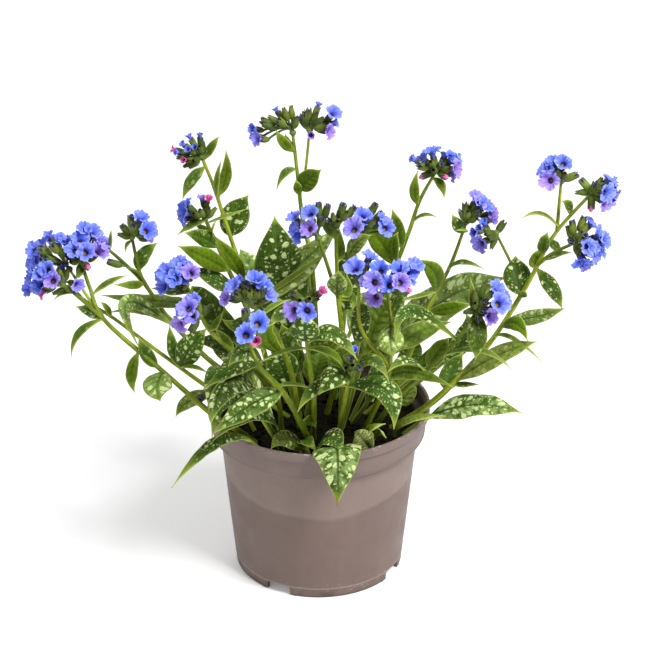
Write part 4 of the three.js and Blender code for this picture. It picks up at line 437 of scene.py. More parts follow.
    [-9, -4, 8, "calyx", 1], [-4, -14, 8, "calyx", 1], [4, -2, 9, "calyx", 1],
    [7, -8, 6, "calyx", 1], [2, -14, 9, "calyx", 1]]],
  ["short_front", [[1, -2, 13, "blue", 0.6], [-5, 0, 6, "calyx", 1], [-1, -10, 11, "calyx", 1],
    [4, -2, 7, "calyx", 1], [-4, -10, 4, "calyx", 1], [0, -14, 8, "calyx", 1],
    [5, -8, 3, "calyx", 1], [-3, -8, 0, "calyx", 1]]],
  ["high_left_b", [[-12, 0, 4, "faded", 1]]],
  # A blue flower in the leaves' shade, given the deep colours as painted shade.
  ["mid_left_b", [[-3, -7, -3, "deep", 0.7]]],
]

# Two heads so close together that their flowers interlock are one piece.
GROWN_INTO = {"low_left_b": "low_left_a"}

# Single side flowers, which stand for a part of their stem.
ON_STEM = ("high_left_b", "mid_left_b")

# Where the upper side of a leaf looks.
FACING = {"up": (0, 0, 1), "front": (0, -0.9, 0.43), "tilt": (0, -0.5, 0.86)}

# Leaf kinds: upper side, under side, pale spots (0 to 1), silvering (0 to 1.5).
LEAF_KINDS = {
    "spotted": ((0.034, 0.074, 0.005), (0.115, 0.170, 0.020), 1.0, 0.0),
    "silver": ((0.038, 0.082, 0.007), (0.120, 0.180, 0.035), 1.0, 0.6),
    "dark": ((0.038, 0.080, 0.003), (0.100, 0.152, 0.014), 0.4, 0.0),
    "plain": ((0.080, 0.135, 0.006), (0.140, 0.195, 0.020), 0.15, 0.0),
    "olive": ((0.078, 0.132, 0.002), (0.150, 0.210, 0.016), 0.0, 0.0),
    "mossy": ((0.080, 0.110, 0.008), (0.150, 0.180, 0.024), 0.8, 0.3),
    "pale": ((0.160, 0.220, 0.030), (0.215, 0.275, 0.060), 0.35, 0.4),
    "fading": ((0.300, 0.320, 0.080), (0.300, 0.310, 0.110), 0.7, 0.6),
    "speckled": ((0.135, 0.195, 0.032), (0.165, 0.220, 0.040), 1.0, 0.9),
    "blotched": ((0.034, 0.078, 0.004), (0.115, 0.175, 0.030), 1.0, 1.5),
    "dry": ((0.340, 0.200, 0.025), (0.260, 0.150, 0.030), 0.0, 0.0),
}

# Petal colours: outer part, throat.
PETALS = {
    "blue": ((0.082, 0.145, 0.760), (0.016, 0.020, 0.230)),
    "violet": ((0.225, 0.175, 0.740), (0.060, 0.030, 0.280)),
    "purple": ((0.290, 0.160, 0.660), (0.120, 0.030, 0.230)),
    "rose": ((0.700, 0.055, 0.230), (0.400, 0.020, 0.110)),
    "faded": ((0.030, 0.030, 0.150), (0.018, 0.012, 0.060)),
    # deep: blue painted dark, as painted shade, for a blue flower that sits in the leaves' shade.
    "deep": ((0.026, 0.030, 0.250), (0.012, 0.012, 0.110)),
}

# Greens of the stems, calyces, flower stalks and cushions, and of their hairs.
STEM_TONES = ((0.140, 0.188, 0.008), (0.200, 0.245, 0.012), (0.108, 0.152, 0.006))
CALYX_GREENS = ((0.078, 0.118, 0.013), (0.118, 0.162, 0.019), (0.056, 0.090, 0.010))
FLOWER_STALK_GREEN = (0.125, 0.165, 0.055)
CUSHION_GREEN = (0.13, 0.17, 0.035)
STEM_HAIR = dict(tone=(0.38, 0.42, 0.12), seed=0.0, along=0.0, turned=0.0)
CALYX_HAIR = dict(tone=(0.20, 0.24, 0.10), reach=0.2)

# Outlines from the foot up, as (height, radius).
COROLLA = [(0, 0.8), (4.2, 1.3), (7.6, 1.75), (9.9, 2.3),
           (11.5, 3.2), (12.7, 4.4), (13.4, 5.7), (13.6, 7.0)]
CALYX = [(-0.6, 0.7), (0, 1.3), (1.4, 1.95), (3.2, 2.3), (5.2, 2.3), (7.0, 2.3), (8.6, 2.35)]
BUD = [(0, 0.5), (1.2, 1.25), (2.8, 1.6), (4.2, 1.35), (5.2, 0.7), (5.6, 0.2)]

# Open flowers lean towards the light.
TO_LIGHT = np.array([0.0, -0.85, 0.5])


def unit(v):
    """Each vector, scaled to length 1."""
    v = np.asarray(v, float)
    return v / np.maximum(np.linalg.norm(v, axis=-1, keepdims=True), 1e-9)


def length_of(path):
    """The sum of the distances from point to point."""
    return np.linalg.norm(np.diff(path, axis=0), axis=1).sum()


def steps_round(count):
    """That many equal steps of angle round one turn."""
    return np.arange(count) * TURN / count


def swing(angle, x, y):
    """The direction at each angle, from x towards y."""
    return np.cos(angle)[..., None] * x + np.sin(angle)[..., None] * y


def square_to(along):
    """Two directions square to a stem, the first of them square to Y too."""
    side = unit(np.cross(along, [0, 1, 0]))
    return side, np.cross(along, side)


def basis(axis, spin):
    """Two directions square to the axis, turned about it by spin, and the axis."""
    axis = unit(axis)
    a = unit(np.cross(axis, [0.13, 0.95, 0.27]))
    b = np.cross(axis, a)
    return math.cos(spin) * a + math.sin(spin) * b, math.cos(spin) * b - math.sin(spin) * a, axis


def spline(points, t):
    """A uniform Catmull-Rom curve through the points: t runs from 0 at the first
    to 1 at the last, and the ends are continued by mirror points."""
    p = np.asarray(points, float)
    p = np.vstack([2 * p[0] - p[1], p, 2 * p[-1] - p[-2]])
    s = np.clip(np.atleast_1d(np.asarray(t, float)), 0, 1) * (len(points) - 1)
    i = np.minimum(s.astype(int), len(points) - 2)
    f = (s - i)[:, None]
    a, b, c, d = p[i], p[i + 1], p[i + 2], p[i + 3]
    return 0.5 * (2 * b + (c - a) * f + (2 * a - 5 * b + 4 * c - d) * f**2
                  + (3 * b - a - 3 * c + d) * f**3)


def bent(start, middle, end, t):
    """A quadratic curve from start to end, pulled towards middle."""
    return (1 - t) ** 2 * start + 2 * t * (1 - t) * middle + t**2 * end


def ease(x, low, high):
    """0 at low, 1 at high, and a smooth step between them."""
    x = np.clip((np.asarray(x, float) - low) / (high - low), 0, 1)
    return x * x * (3 - 2 * x)


def ripple(points, scale, seed):
    """A smooth wavy value between about -1 and 1 in space: the mean of eight
    sine waves in fixed random directions, with about the given wavelength."""
    rng = np.random.default_rng(seed)
    ways = unit(rng.normal(size=(8, 3))) * rng.uniform(0.6, 1.8, (8, 1)) * TURN / scale
    return np.sin(np.asarray(points) @ ways.T + rng.uniform(0, TURN, 8)).sum(-1) / 3.2


def varied(rng, colour, amount=0.12):
    """The colour with a little chance in brightness and warmth."""
    bright = 1 + rng.uniform(-amount, amount)
    warm = rng.uniform(-amount, amount) * 0.5
    return np.clip(np.array(colour) * bright * np.array([1 + warm, 1, 1 - warm]), 0, 1)


class Sheaf:
    """Closed rings of points joined into one mesh, with values on the points."""

    # Values of more than one number per point.
    VECTORS = ("tone", "deep", "disc", "flat")

    def __init__(self):
        self.points, self.faces, self.values, self.count = [], [], {}, 0

    def add(self, rings, **values):
        """rings is an array of rings x points x 3. Each ring closes on itself
        and runs anticlockwise about the direction from ring to ring, so that
        the quads between rings look outwards; the two ends get a cap."""
        m, n, _ = rings.shape
        at = np.arange(m * n).reshape(m, n) + self.count
        beside = np.roll(at, -1, axis=1)
        quads = np.stack([at[:-1], beside[:-1], beside[1:], at[1:]], -1).reshape(-1, 4)
        self.faces += quads.tolist() + [at[0][::-1].tolist(), at[-1].tolist()]
        self.points.append(rings.reshape(-1, 3))
        for key, value in values.items():
            value = np.asarray(value, float)
            wide = value.shape[-1:] if key in self.VECTORS else ()
            value = np.broadcast_to(value, (m, n) + wide).reshape((-1,) + wide)
            self.values.setdefault(key, []).append(value)
        self.count += m * n

    def hairs(self, feet, ways, length, values):
        """Fine hairs: four-sided slivers of three base points and one tip."""
        feet, ways = np.asarray(feet, float), unit(ways)
        side = unit(np.cross(ways, [0.31, 0.52, 0.79]))
        other = np.cross(ways, side)
        corners = swing(steps_round(3)[None], side[:, None], other[:, None])
        base = feet[:, None] + HAIR_WIDTH * corners
        tips = feet + ways * length[:, None]
        points = np.concatenate([base - ways[:, None] * 0.2, tips[:, None]], 1).reshape(-1, 3)
        first = (np.arange(len(feet)) * 4 + self.count)[:, None]
        for face in ((0, 1, 3), (1, 2, 3), (2, 0, 3), (0, 2, 1)):
            self.faces += (first + np.array(face)).tolist()
        self.points.append(points)
        self.count += len(points)
        for key, value in values.items():
            self.values[key].append(np.broadcast_to(value, (len(points),) + np.shape(value)))

    def mesh(self, name):
        """The faces in metres, without the values."""
        mesh = bpy.data.meshes.new(name)
        mesh.from_pydata(np.concatenate(self.points) * MM, [], self.faces)
        return mesh

    def piece(self, name, material, slot, node):
        """The mesh as an object that stands for its node."""
        mesh = self.mesh(name)
        for key, parts in self.values.items():
            data = np.concatenate(parts)
            if key == "flat":
                corners = np.empty(len(mesh.loops), np.int32)
                mesh.loops.foreach_get("vertex_index", corners)
                layer = mesh.uv_layers.new(name="along_and_across")
                layer.data.foreach_set("uv", data[corners].ravel())
            elif data.ndim == 2:
                data = np.concatenate([data, np.ones((len(data), 1))], 1)
                layer = mesh.attributes.new(key, "FLOAT_COLOR", "POINT")
                layer.data.foreach_set("color", data.ravel())
            else:
                layer = mesh.attributes.new(key, "FLOAT", "POINT")
                layer.data.foreach_set("value", data)
        mesh.polygons.foreach_set("use_smooth", np.ones(len(mesh.polygons), bool))
        mesh.update()
        mesh.materials.append(material)
        obj = placed(name, mesh)
        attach(obj, "root")
        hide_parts(node)
        return obj


def placed(name, data):
    """An object with this data, in the scene."""
    obj = bpy.data.objects.new(name, data)
    bpy.context.collection.objects.link(obj)
    return obj


def tube_rings(path, radius, around, ridges=0.0, phase=0.0):
    """A round section carried along the path. The section keeps one side turned
    away from +Y, and five shallow ridges swell it by the given share."""
    side, other = square_to(unit(np.gradient(path, axis=0)))
    angle = steps_round(around)
    shape = 1 + ridges * np.cos(5 * angle + phase)
    r = np.broadcast_to(radius, len(path))[:, None] * shape
    return path[:, None] + r[..., None] * swing(angle[None], side[:, None], other[:, None])


def leaf_rings(base, mid, tip, width, facing, stalk, grid, rng):
    """A leaf as flat closed rings along its midrib.

    The midrib is the quadratic curve through base, mid (at half length) and tip.
    The width is a power of a sine of the distance along the blade. Each half
    bulges between the sunken midrib and the edge, side veins that run forward
    quilt it, and the edge ripples. The thickness is a lens over the width, and
    it grows into a round stalk below the blade. Beside the rings come the
    values that the leaf's finish reads.
    """
    steps, half_steps = grid
    base, mid, tip = (np.asarray(p, float) for p in (base, mid, tip))
    control = 2 * mid - (base + tip) / 2
    u = np.linspace(0, 1, steps)[:, None]
    path = bent(base, control, tip, u)
    along = unit(2 * (1 - u) * (control - base) + 2 * u * (tip - control))
    length = length_of(path)

    # The upper side, square to the midrib, looks the given way at one place.
    face = np.array(FACING[facing], float)
    there = round((0.7 if stalk > 0.25 else 0.5) * (steps - 1))
    hinge = np.cross(mid - base, tip - base)
    if np.linalg.norm(hinge) < 1:
        hinge = np.cross(along[there], face)
    hinge = unit(hinge)
    level = np.cross(hinge, along)
    turn = math.atan2(face @ hinge, face @ level[there]) + rng.uniform(-0.12, 0.12) * (2 * u - 1)
    up = np.cos(turn) * level + np.sin(turn) * hinge
    side = np.cross(along, up)

    # Half width and thickness along the leaf.
    broad = width / length > 0.35 or stalk > 0
    lean, blunt, pointed = (0.8, 0.75, 0.4) if broad else (0.85, 1.0, 0.15)
    x = np.clip((u - stalk) / (1 - stalk), 0, 1)
    blade = np.sin(np.pi * x**lean).clip(0) ** (blunt + pointed * ease(x, 0.65, 1))
    blade = width / 2 * blade * (1 + 0.03 * np.sin(u * length / width * 5 + rng.uniform(0, 6)))
    thin = 1.5 if stalk > 0 else min(1.2, width * 0.16)
    half = np.maximum(blade, thin * (1 - 0.85 * ease(x, 0.75, 1)))
    leafy = ease(blade, thin, thin + 2.5)
    stalk_depth = 2.5 if stalk > 0 else 1.0
    depth = stalk_depth * (1 - leafy) * (1 - 0.9 * ease(x, 0.8, 1)) + 0.5

    # Across the leaf: over the upper side and back under it.
    v = np.linspace(-1, 1, 2 * half_steps + 1)
    v = np.sign(v) * np.abs(v) ** 0.92
    ring = np.concatenate([v[:0:-1], v[:-1]])
    top = np.concatenate([np.zeros(len(v) - 1), np.ones(len(v) - 1)])
    a = np.abs(ring)
    reach = half * a

    size = min(1, width / 20)
    vein = TURN * (u * length - reach * 0.9) / np.clip(length / 13, 4.5, 11)
    bulge = half * (0.30 * a - 0.33 * a**2)
    quilt = -0.42 * size * np.cos(vein) * np.sin(np.pi * np.minimum(a * 1.05, 1))
    wave = TURN * u * length / (width * 1.5 + 6) + rng.uniform(0, TURN) + 1.1 * np.sign(ring)
    frill = 0.075 * width / 2 * a**3 * np.sin(wave)
    groove = -0.35 * size * np.exp(-((reach / 1.2) ** 2))
    lens = depth * np.sqrt(1 - a**2) / 2
    keel = 0.9 * size * np.exp(-((reach / 1.1) ** 2)) * (1 - 0.8 * u) * leafy
    height = (bulge + quilt + frill + groove) * leafy + np.where(top > 0, lens, -lens - keel)
    across = (half * ring)[..., None]
    rings = path[:, None] + side[:, None] * across + up[:, None] * height[..., None]

    pattern_size = np.clip(width / 20, 0.55, 1.5) ** 0.6
    flat = np.stack([u * length - 0.35 * reach, half * ring], -1) / pattern_size
    return rings, dict(
        top=np.where(a > 0.999, 0.6, top),
        rib=np.exp(-((reach / (0.45 + 0.35 * size)) ** 2)) * (1 - 0.6 * u) * leafy,
        bare=1 - leafy,
        edge=np.exp(-(((half - reach) / 0.45) ** 2)),
        crease=0.5 + 0.5 * np.cos(vein),
        flat=flat + rng.uniform(0, 900, 2),
        tipward=u,
    )


def lobed_shell(table, foot, axis, rng, scale, spread, spin, ruffle, notch, sharp, wall, grid):
    """A closed five-lobed funnel about the axis: the outside from foot to rim,
    then the inside back, a wall thinner, to a narrow throat. The rim drops
    between the lobes by notch, with the power sharp of a cosine. Towards the
    rim the lobes spread, wave and tilt by ruffle. grid is the steps round, the
    rings outside and the rings inside. Beside the rings come the place along
    the outline, the place on the flower's disc, and which rings are inside."""
    around, outer, inner = grid
    x, y, z = basis(axis, spin)
    t = np.concatenate([np.linspace(0, 1, outer) ** 0.85, np.linspace(1, 0.3, inner), [0.26]])
    t = t[:, None]
    skin = np.concatenate([np.zeros(outer), np.full(inner + 1, wall)])[:, None]
    skin[outer] = wall * 0.4
    throat = np.ones_like(t)
    throat[-1] = 0.4
    phase = rng.uniform(0, TURN, 4)
    tilts = rng.uniform(-1, 1, 5)

    angle = steps_round(around)[None]
    lobe = np.abs(np.cos(2.5 * angle)) ** sharp
    late = ease(t, 0.45, 1)
    s = np.clip(t - notch * (1 - lobe) * late, 0, 1)
    outline = spline(table, s.ravel()).reshape(s.shape + (2,)) * scale

    def waves(shares, counts, turns):
        """Sine waves round the flower, added up."""
        return sum(share * np.sin(count * angle + turn)
                   for share, count, turn in zip(shares, counts, turns))

    own = tilts[(np.round(angle / TURN * 5) % 5).astype(int)] * lobe * 1.1
    fold = -0.4 * np.exp(-((np.sin(2.5 * angle) / 0.25) ** 2))
    fold = fold * ease(t, 0.35, 0.55) * ease(t, 1.0, 0.8)
    crinkle = late**3 * waves((0.5, 0.42, 0.2), (9, 14, 23), phase)
    rise = ruffle * (crinkle + late**2 * (own + 0.5 - lobe) + fold)
    wide = 1 + late * waves((0.06, 0.035, 0.022), (2, 14, 25), (phase[3], phase[0], phase[1]))
    opened = 1 + (spread - 1) * ease(s, 0.35, 1)
    h = outline[..., 0] + rise * scale
    r = np.maximum((outline[..., 1] * opened * wide - skin * scale) * throat, 0.12)
    rings = foot + r[..., None] * swing(angle, x, y) + h[..., None] * z
    disc = np.stack(np.broadcast_arrays(np.cos(angle), np.sin(angle), t), -1)
    return rings, t, disc, skin > 0


class Wire:
    """What comes out of a node. Between wires, +, - and * are Math nodes."""

    def __init__(self, shader, socket):
        self.shader, self.socket = shader, socket

    def __add__(self, other):
        return self.shader.maths("ADD", self, other)

    def __sub__(self, other):
        return self.shader.maths("SUBTRACT", self, other)

    def __rsub__(self, other):
        return self.shader.maths("SUBTRACT", other, self)

    def __mul__(self, other):
        return self.shader.maths("MULTIPLY", self, other)


class Outputs:
    """A node's outputs as wires, by name or number."""

    def __init__(self, shader, made):
        self.shader, self.made = shader, made

    def __getitem__(self, key):
        return Wire(self.shader, self.made.outputs[key])


class Shader:
    """A short way to write a node tree."""

    def __init__(self, tree):
        self.tree = tree

    def feed(self, socket, value):
        """Joins a wire to the socket, or sets its value."""
        if isinstance(value, Wire):
            self.tree.links.new(value.socket, socket)
        elif isinstance(value, tuple) and len(value) < len(socket.default_value):
            socket.default_value = (*value, 1)
        else:
            socket.default_value = value

    def node(self, kind, inputs=None, **settings):
        """Adds a node and gives back its outputs."""
        made = self.tree.nodes.new("ShaderNode" + kind)
        for key, value in settings.items():
            setattr(made, key, value)
        for key, value in (inputs or {}).items():
            self.feed(made.inputs[key], value)
        return Outputs(self, made)

    def group(self, group, **inputs):
        """A shared effect, placed with its own values."""
        return self.node("Group", inputs, node_tree=group)

    def value(self, name):
        """A number that the mesh's points carry."""
        return self.node("Attribute", attribute_name=name)["Fac"]

    def colour(self, name):
        """A colour that the mesh's points carry."""
        return self.node("Attribute", attribute_name=name)["Color"]

    def place(self):
        return self.node("TexCoord")["Object"]

    def stretched(self, place, scale):
        return self.node("Mapping", {0: place, "Scale": scale})[0]

    def parts(self, kind, value):
        """The three parts of a colour or a place."""
        made = self.node(kind, {0: value})
        return made[0], made[1], made[2]

    def maths(self, operation, a, b=0.0, clamp=False):
        return self.node("Math", {0: a, 1: b}, operation=operation, use_clamp=clamp)[0]

    def mix(self, factor, a, b):
        return self.node("Mix", {0: factor, 6: a, 7: b}, data_type="RGBA")[2]

    def span(self, value, low, high, out_low=0.0, out_high=1.0, kind="SMOOTHSTEP"):
        """The value's way from low to high, as a way between the two outputs."""
        ends = {"Value": value, "From Min": low, "From Max": high,
                "To Min": out_low, "To Max": out_high}
        return self.node("MapRange", ends, interpolation_type=kind)[0]

    def noise(self, place, scale, detail=3.0, rough=0.5, output="Fac"):
        inputs = {"Vector": place, "Scale": scale, "Detail": detail, "Roughness": rough}
        return self.node("TexNoise", inputs)[output]


def effect(name, inputs, outputs):
    """An empty shader node group with named inputs and outputs."""
    group = bpy.data.node_groups.new(name, "ShaderNodeTree")
    for label, kind, start in inputs:
        socket = group.interface.new_socket(
            name=label, in_out="INPUT", socket_type="NodeSocket" + kind)
        socket.default_value = start
    for label, kind in outputs:
        group.interface.new_socket(
            name=label, in_out="OUTPUT", socket_type="NodeSocket" + kind)
    shader = Shader(group)
    given = Outputs(shader, group.nodes.new("NodeGroupInput"))
    return shader, given, group.nodes.new("NodeGroupOutput").inputs


def mottle_effect():
    """Soft patches of lighter and darker, warmer and cooler colour."""
    inputs = [("Colour", "Color", (0.5, 0.5, 0.5, 1)), ("Scale", "Float", 60.0),
              ("Amount", "Float", 0.3)]
    s, given, out = effect("mottle", inputs, [("Colour", "Color")])
    place = s.place()
    coarse = s.span(s.noise(place, given["Scale"], 4.0, 0.6), 0.3, 0.7)
    fine = s.span(s.noise(place, given["Scale"] * 6.0, 2.0, 0.5), 0.3, 0.7)
    change = (coarse * 0.7 + fine * 0.3 - 0.5) * given["Amount"]
    shift = {"Hue": change * 0.04 + 0.5, "Value": change + 1.0, "Color": given["Colour"]}
    s.feed(out["Colour"], s.node("HueSaturation", shift)[0])
    return s.tree


def down_effect():
    """The fine hairs on leaves and stems: small bristly grain, 0 to 1."""
    s, given, out = effect("down", [("Scale", "Float", 1500.0)], [("Hairs", "Float")])
    s.feed(out["Hairs"], s.span(s.noise(s.place(), given["Scale"], 2.0, 0.7), 0.56, 0.74))
    return s.tree


MOTTLE = mottle_effect()
DOWN = down_effect()


def finish_of(name, **fixed):
    """A material with a Principled BSDF whose uniform values are set directly."""
    material = bpy.data.materials.new(name)
    material.use_nodes = True
    shader = Shader(material.node_tree)
    surface = material.node_tree.nodes["Principled BSDF"]
    for key, value in fixed.items():
        shader.feed(surface.inputs[key.replace("_", " ")], value)
    return material, shader, surface


def plug(shader, surface, colour, roughness, height, depth, strength):
    """Joins the colour, the roughness and a bump of that depth to the surface."""
    shader.feed(surface.inputs["Base Color"], colour)
    shader.feed(surface.inputs["Roughness"], roughness)
    bump = shader.node("Bump", {"Height": height, "Strength": strength, "Distance": depth})
    shader.feed(surface.inputs["Normal"], bump[0])


def leaf_finish():
    """Green skin, pale round spots of a few millimetres between the side veins
    and away from the midrib, a silvery bloom on some leaves, a pale hairy edge,
    a paler under side with raised veins, and painted shade in the sunken side
    veins and along the sunken midrib on the upper side."""
    material, s, surface = finish_of("lungwort_leaf", Specular_IOR_Level=0.12)
    flat = s.node("UVMap", uv_map="along_and_across")[0]
    wobble = s.noise(flat, 0.45, 2.0, output="Color")
    shift = s.node("VectorMath", {0: wobble, "Scale": 2.4}, operation="SCALE")[0]
    wobbly = s.node("VectorMath", {0: flat, 1: shift}, operation="ADD")[0]
    silver, rib, bare, edge, crease = map(s.value, ("silver", "rib", "bare", "edge", "crease"))

    def dots(scale, smallest, largest, soft, more):
        """Round cells of chance size, larger on silvery leaves."""
        inputs = {"Vector": wobbly, "Scale": scale, "Randomness": 0.85}
        cells = s.node("TexVoronoi", inputs, feature="F1", voronoi_dimensions="2D")
        chance = s.parts("SeparateColor", cells["Color"])[0]
        size = s.span(chance, 0.0, 1.0, smallest, largest, "LINEAR") + silver * more
        return s.maths("MULTIPLY", size - cells["Distance"], 1 / soft, clamp=True)

    large, small = dots(0.172, -0.02, 0.40, 0.06, 0.05), dots(0.42, -0.12, 0.34, 0.12, 0.03)
    off_rib = (1.0 - s.maths("MULTIPLY", rib, 1.8, clamp=True)) * (1.0 - bare)
    keep = off_rib * s.span(edge, 0.3, 0.8, 1.0, 0.0)
    top = s.span(s.value("top"), 0.5, 0.9)
    between_veins = s.span(crease, 0.80, 1.0, 1.0, 0.35)
    spotted = s.maths("MAXIMUM", large, small * 0.75) * s.value("spots")
    spotted = spotted * keep * between_veins * top

    upper = s.group(MOTTLE, Colour=s.colour("tone"), Scale=38.0, Amount=0.9)["Colour"]
    # Painted shade: the sunken side veins on the upper side are darkened.
    upper = s.mix(s.span(crease, 0.55, 1.0) * 0.62, upper, (0.010, 0.026, 0.001))
    streaks = s.span(s.noise(s.stretched(flat, (0.25, 1.3, 1.0)), 1.0), 0.45, 0.7)
    upper = s.mix(streaks * 0.30, upper, (0.16, 0.23, 0.008))
    bloom = s.span(s.noise(flat, 0.16), 0.42, 0.62) * silver * keep * 0.40
    upper = s.mix(bloom, upper, (0.27, 0.37, 0.12))
    upper = s.mix(spotted * 0.92, upper, (0.50, 0.59, 0.26))
    lower = s.group(MOTTLE, Colour=s.colour("deep"), Scale=60.0, Amount=0.5)["Colour"]
    lower = s.mix(s.span(crease, 0.7, 1.0) * 0.3, lower, (0.30, 0.38, 0.12))
    colour = s.mix(top, lower, upper)

    # The rib is paler under the leaf, its own colour; on the upper side the sunken midrib is
    # darkened as painted shade.
    rib_tone_and_shade = s.mix(top, (0.26, 0.34, 0.08), (0.016, 0.038, 0.003))
    colour = s.mix(rib * 0.75, colour, rib_tone_and_shade)
    colour = s.mix(bare * 0.8, colour, (0.165, 0.235, 0.022))
    hairs = s.group(DOWN, Scale=1500.0)["Hairs"]
    colour = s.mix(hairs * 0.10, colour, (0.36, 0.45, 0.08))
    colour = s.mix(edge * 0.75, colour, (0.42, 0.49, 0.12))
    dry_tip = s.value("dry") * s.span(s.value("tipward"), 0.93, 1.0)
    colour = s.mix(dry_tip, colour, (0.20, 0.11, 0.03))
    height = hairs * 0.4 + s.noise(flat, 0.9, 4.0)
    plug(s, surface, colour, s.span(s.noise(flat, 0.4), 0.3, 0.7, 0.42, 0.6), height, 0.0004, 0.6)
    return material


def stem_finish():
    """Juicy yellow-green with darker and lighter strands along the stem, and
    with fine hairs."""
    material, s, surface = finish_of("lungwort_stem", Specular_IOR_Level=0.14)
    colour = s.group(MOTTLE, Colour=s.colour("tone"), Scale=90.0, Amount=0.7)["Colour"]
    place = {0: s.value("turned") * 0.9, 1: s.value("along") * 0.030, 2: s.value("seed")}
    strands = s.noise(s.node("CombineXYZ", place)[0], 1.0, 3.0, 0.6)
    colour = s.mix(s.span(strands, 0.50, 0.60) * 0.55, colour, (0.050, 0.085, 0.003))
    colour = s.mix(s.span(strands, 0.46, 0.36) * 0.50, colour, (0.380, 0.415, 0.045))
    hairs = s.group(DOWN, Scale=1700.0)["Hairs"]
    colour = s.mix(hairs * 0.12, colour, (0.48, 0.52, 0.10))
    plug(s, surface, colour, s.span(hairs, 0.0, 1.0, 0.42, 0.58), hairs, 0.0003, 0.5)
    return material


def petal_finish():
    """Thin petals: a dark throat with an ochre eye, then the petal's own blue
    with fine veins that run out from the throat, lighter patches, a lighter rim
    that is partly the petal's paler edge and partly a painted highlight, and a
    tube that is more violet outside."""
    material, s, surface = finish_of(
        "lungwort_petal", Specular_IOR_Level=0.15, Sheen_Weight=0.05, Sheen_Roughness=0.4)
    across, upwards, reach = s.parts("SeparateColor", s.colour("disc"))
    angle = s.maths("ARCTAN2", upwards, across)
    inside = s.value("inside")
    spread_out = s.node("CombineXYZ", {0: angle * 4.0, 1: reach * 1.6, 2: s.value("seed")})[0]
    veins = s.span(s.noise(spread_out, 2.2, 3.0, 0.6), 0.46, 0.66)
    patches = s.span(s.noise(spread_out, 0.7, 2.0), 0.35, 0.65)
    tone, deep = s.colour("tone"), s.colour("deep")
    pale = s.mix(0.50, tone, (0.46, 0.54, 0.96))
    colour = s.mix(patches * 0.6, tone, pale)
    # The rim is lightened: partly the petals' paler edge, partly a painted highlight.
    colour = s.mix(s.span(reach, 0.84, 1.0) * 0.50, colour, pale)
    colour = s.mix(veins * s.span(reach, 1.0, 0.35) * 0.9, colour, deep)
    colour = s.mix(s.span(reach, 0.48, 0.34) * 0.55, colour, deep)
    colour = s.mix(inside * s.span(reach, 0.375, 0.305), colour, (0.030, 0.012, 0.070))
    colour = s.mix(inside * s.span(reach, 0.295, 0.27), colour, (0.260, 0.180, 0.060))
    tube = (1.0 - inside) * s.span(reach, 0.55, 0.25)
    colour = s.mix(tube * 0.35, colour, (0.20, 0.12, 0.48))
    colour = s.group(MOTTLE, Colour=colour, Scale=190.0, Amount=0.30)["Colour"]
    plug(s, surface, colour, s.span(veins, 0.0, 1.0, 0.46, 0.58), veins, 0.0002, 0.5)
    return material


def calyx_finish():
    """Hairy green that turns purple-brown at the teeth."""
    material, s, surface = finish_of(
        "lungwort_calyx", Specular_IOR_Level=0.2, Sheen_Weight=0.03, Sheen_Roughness=0.45)
    colour = s.group(MOTTLE, Colour=s.colour("tone"), Scale=180.0, Amount=0.8)["Colour"]
    blush = s.span(s.value("reach") + s.noise(s.place(), 260.0, 2.0) * 0.5, 1.04, 1.36)
    colour = s.mix(blush * 0.8, colour, (0.075, 0.034, 0.022))
    hairs = s.group(DOWN, Scale=1900.0)["Hairs"]
    colour = s.mix(hairs * 0.14, colour, (0.32, 0.38, 0.12))
    plug(s, surface, colour, s.span(hairs, 0.0, 1.0, 0.5, 0.7), hairs, 0.0003, 0.7)
    return material


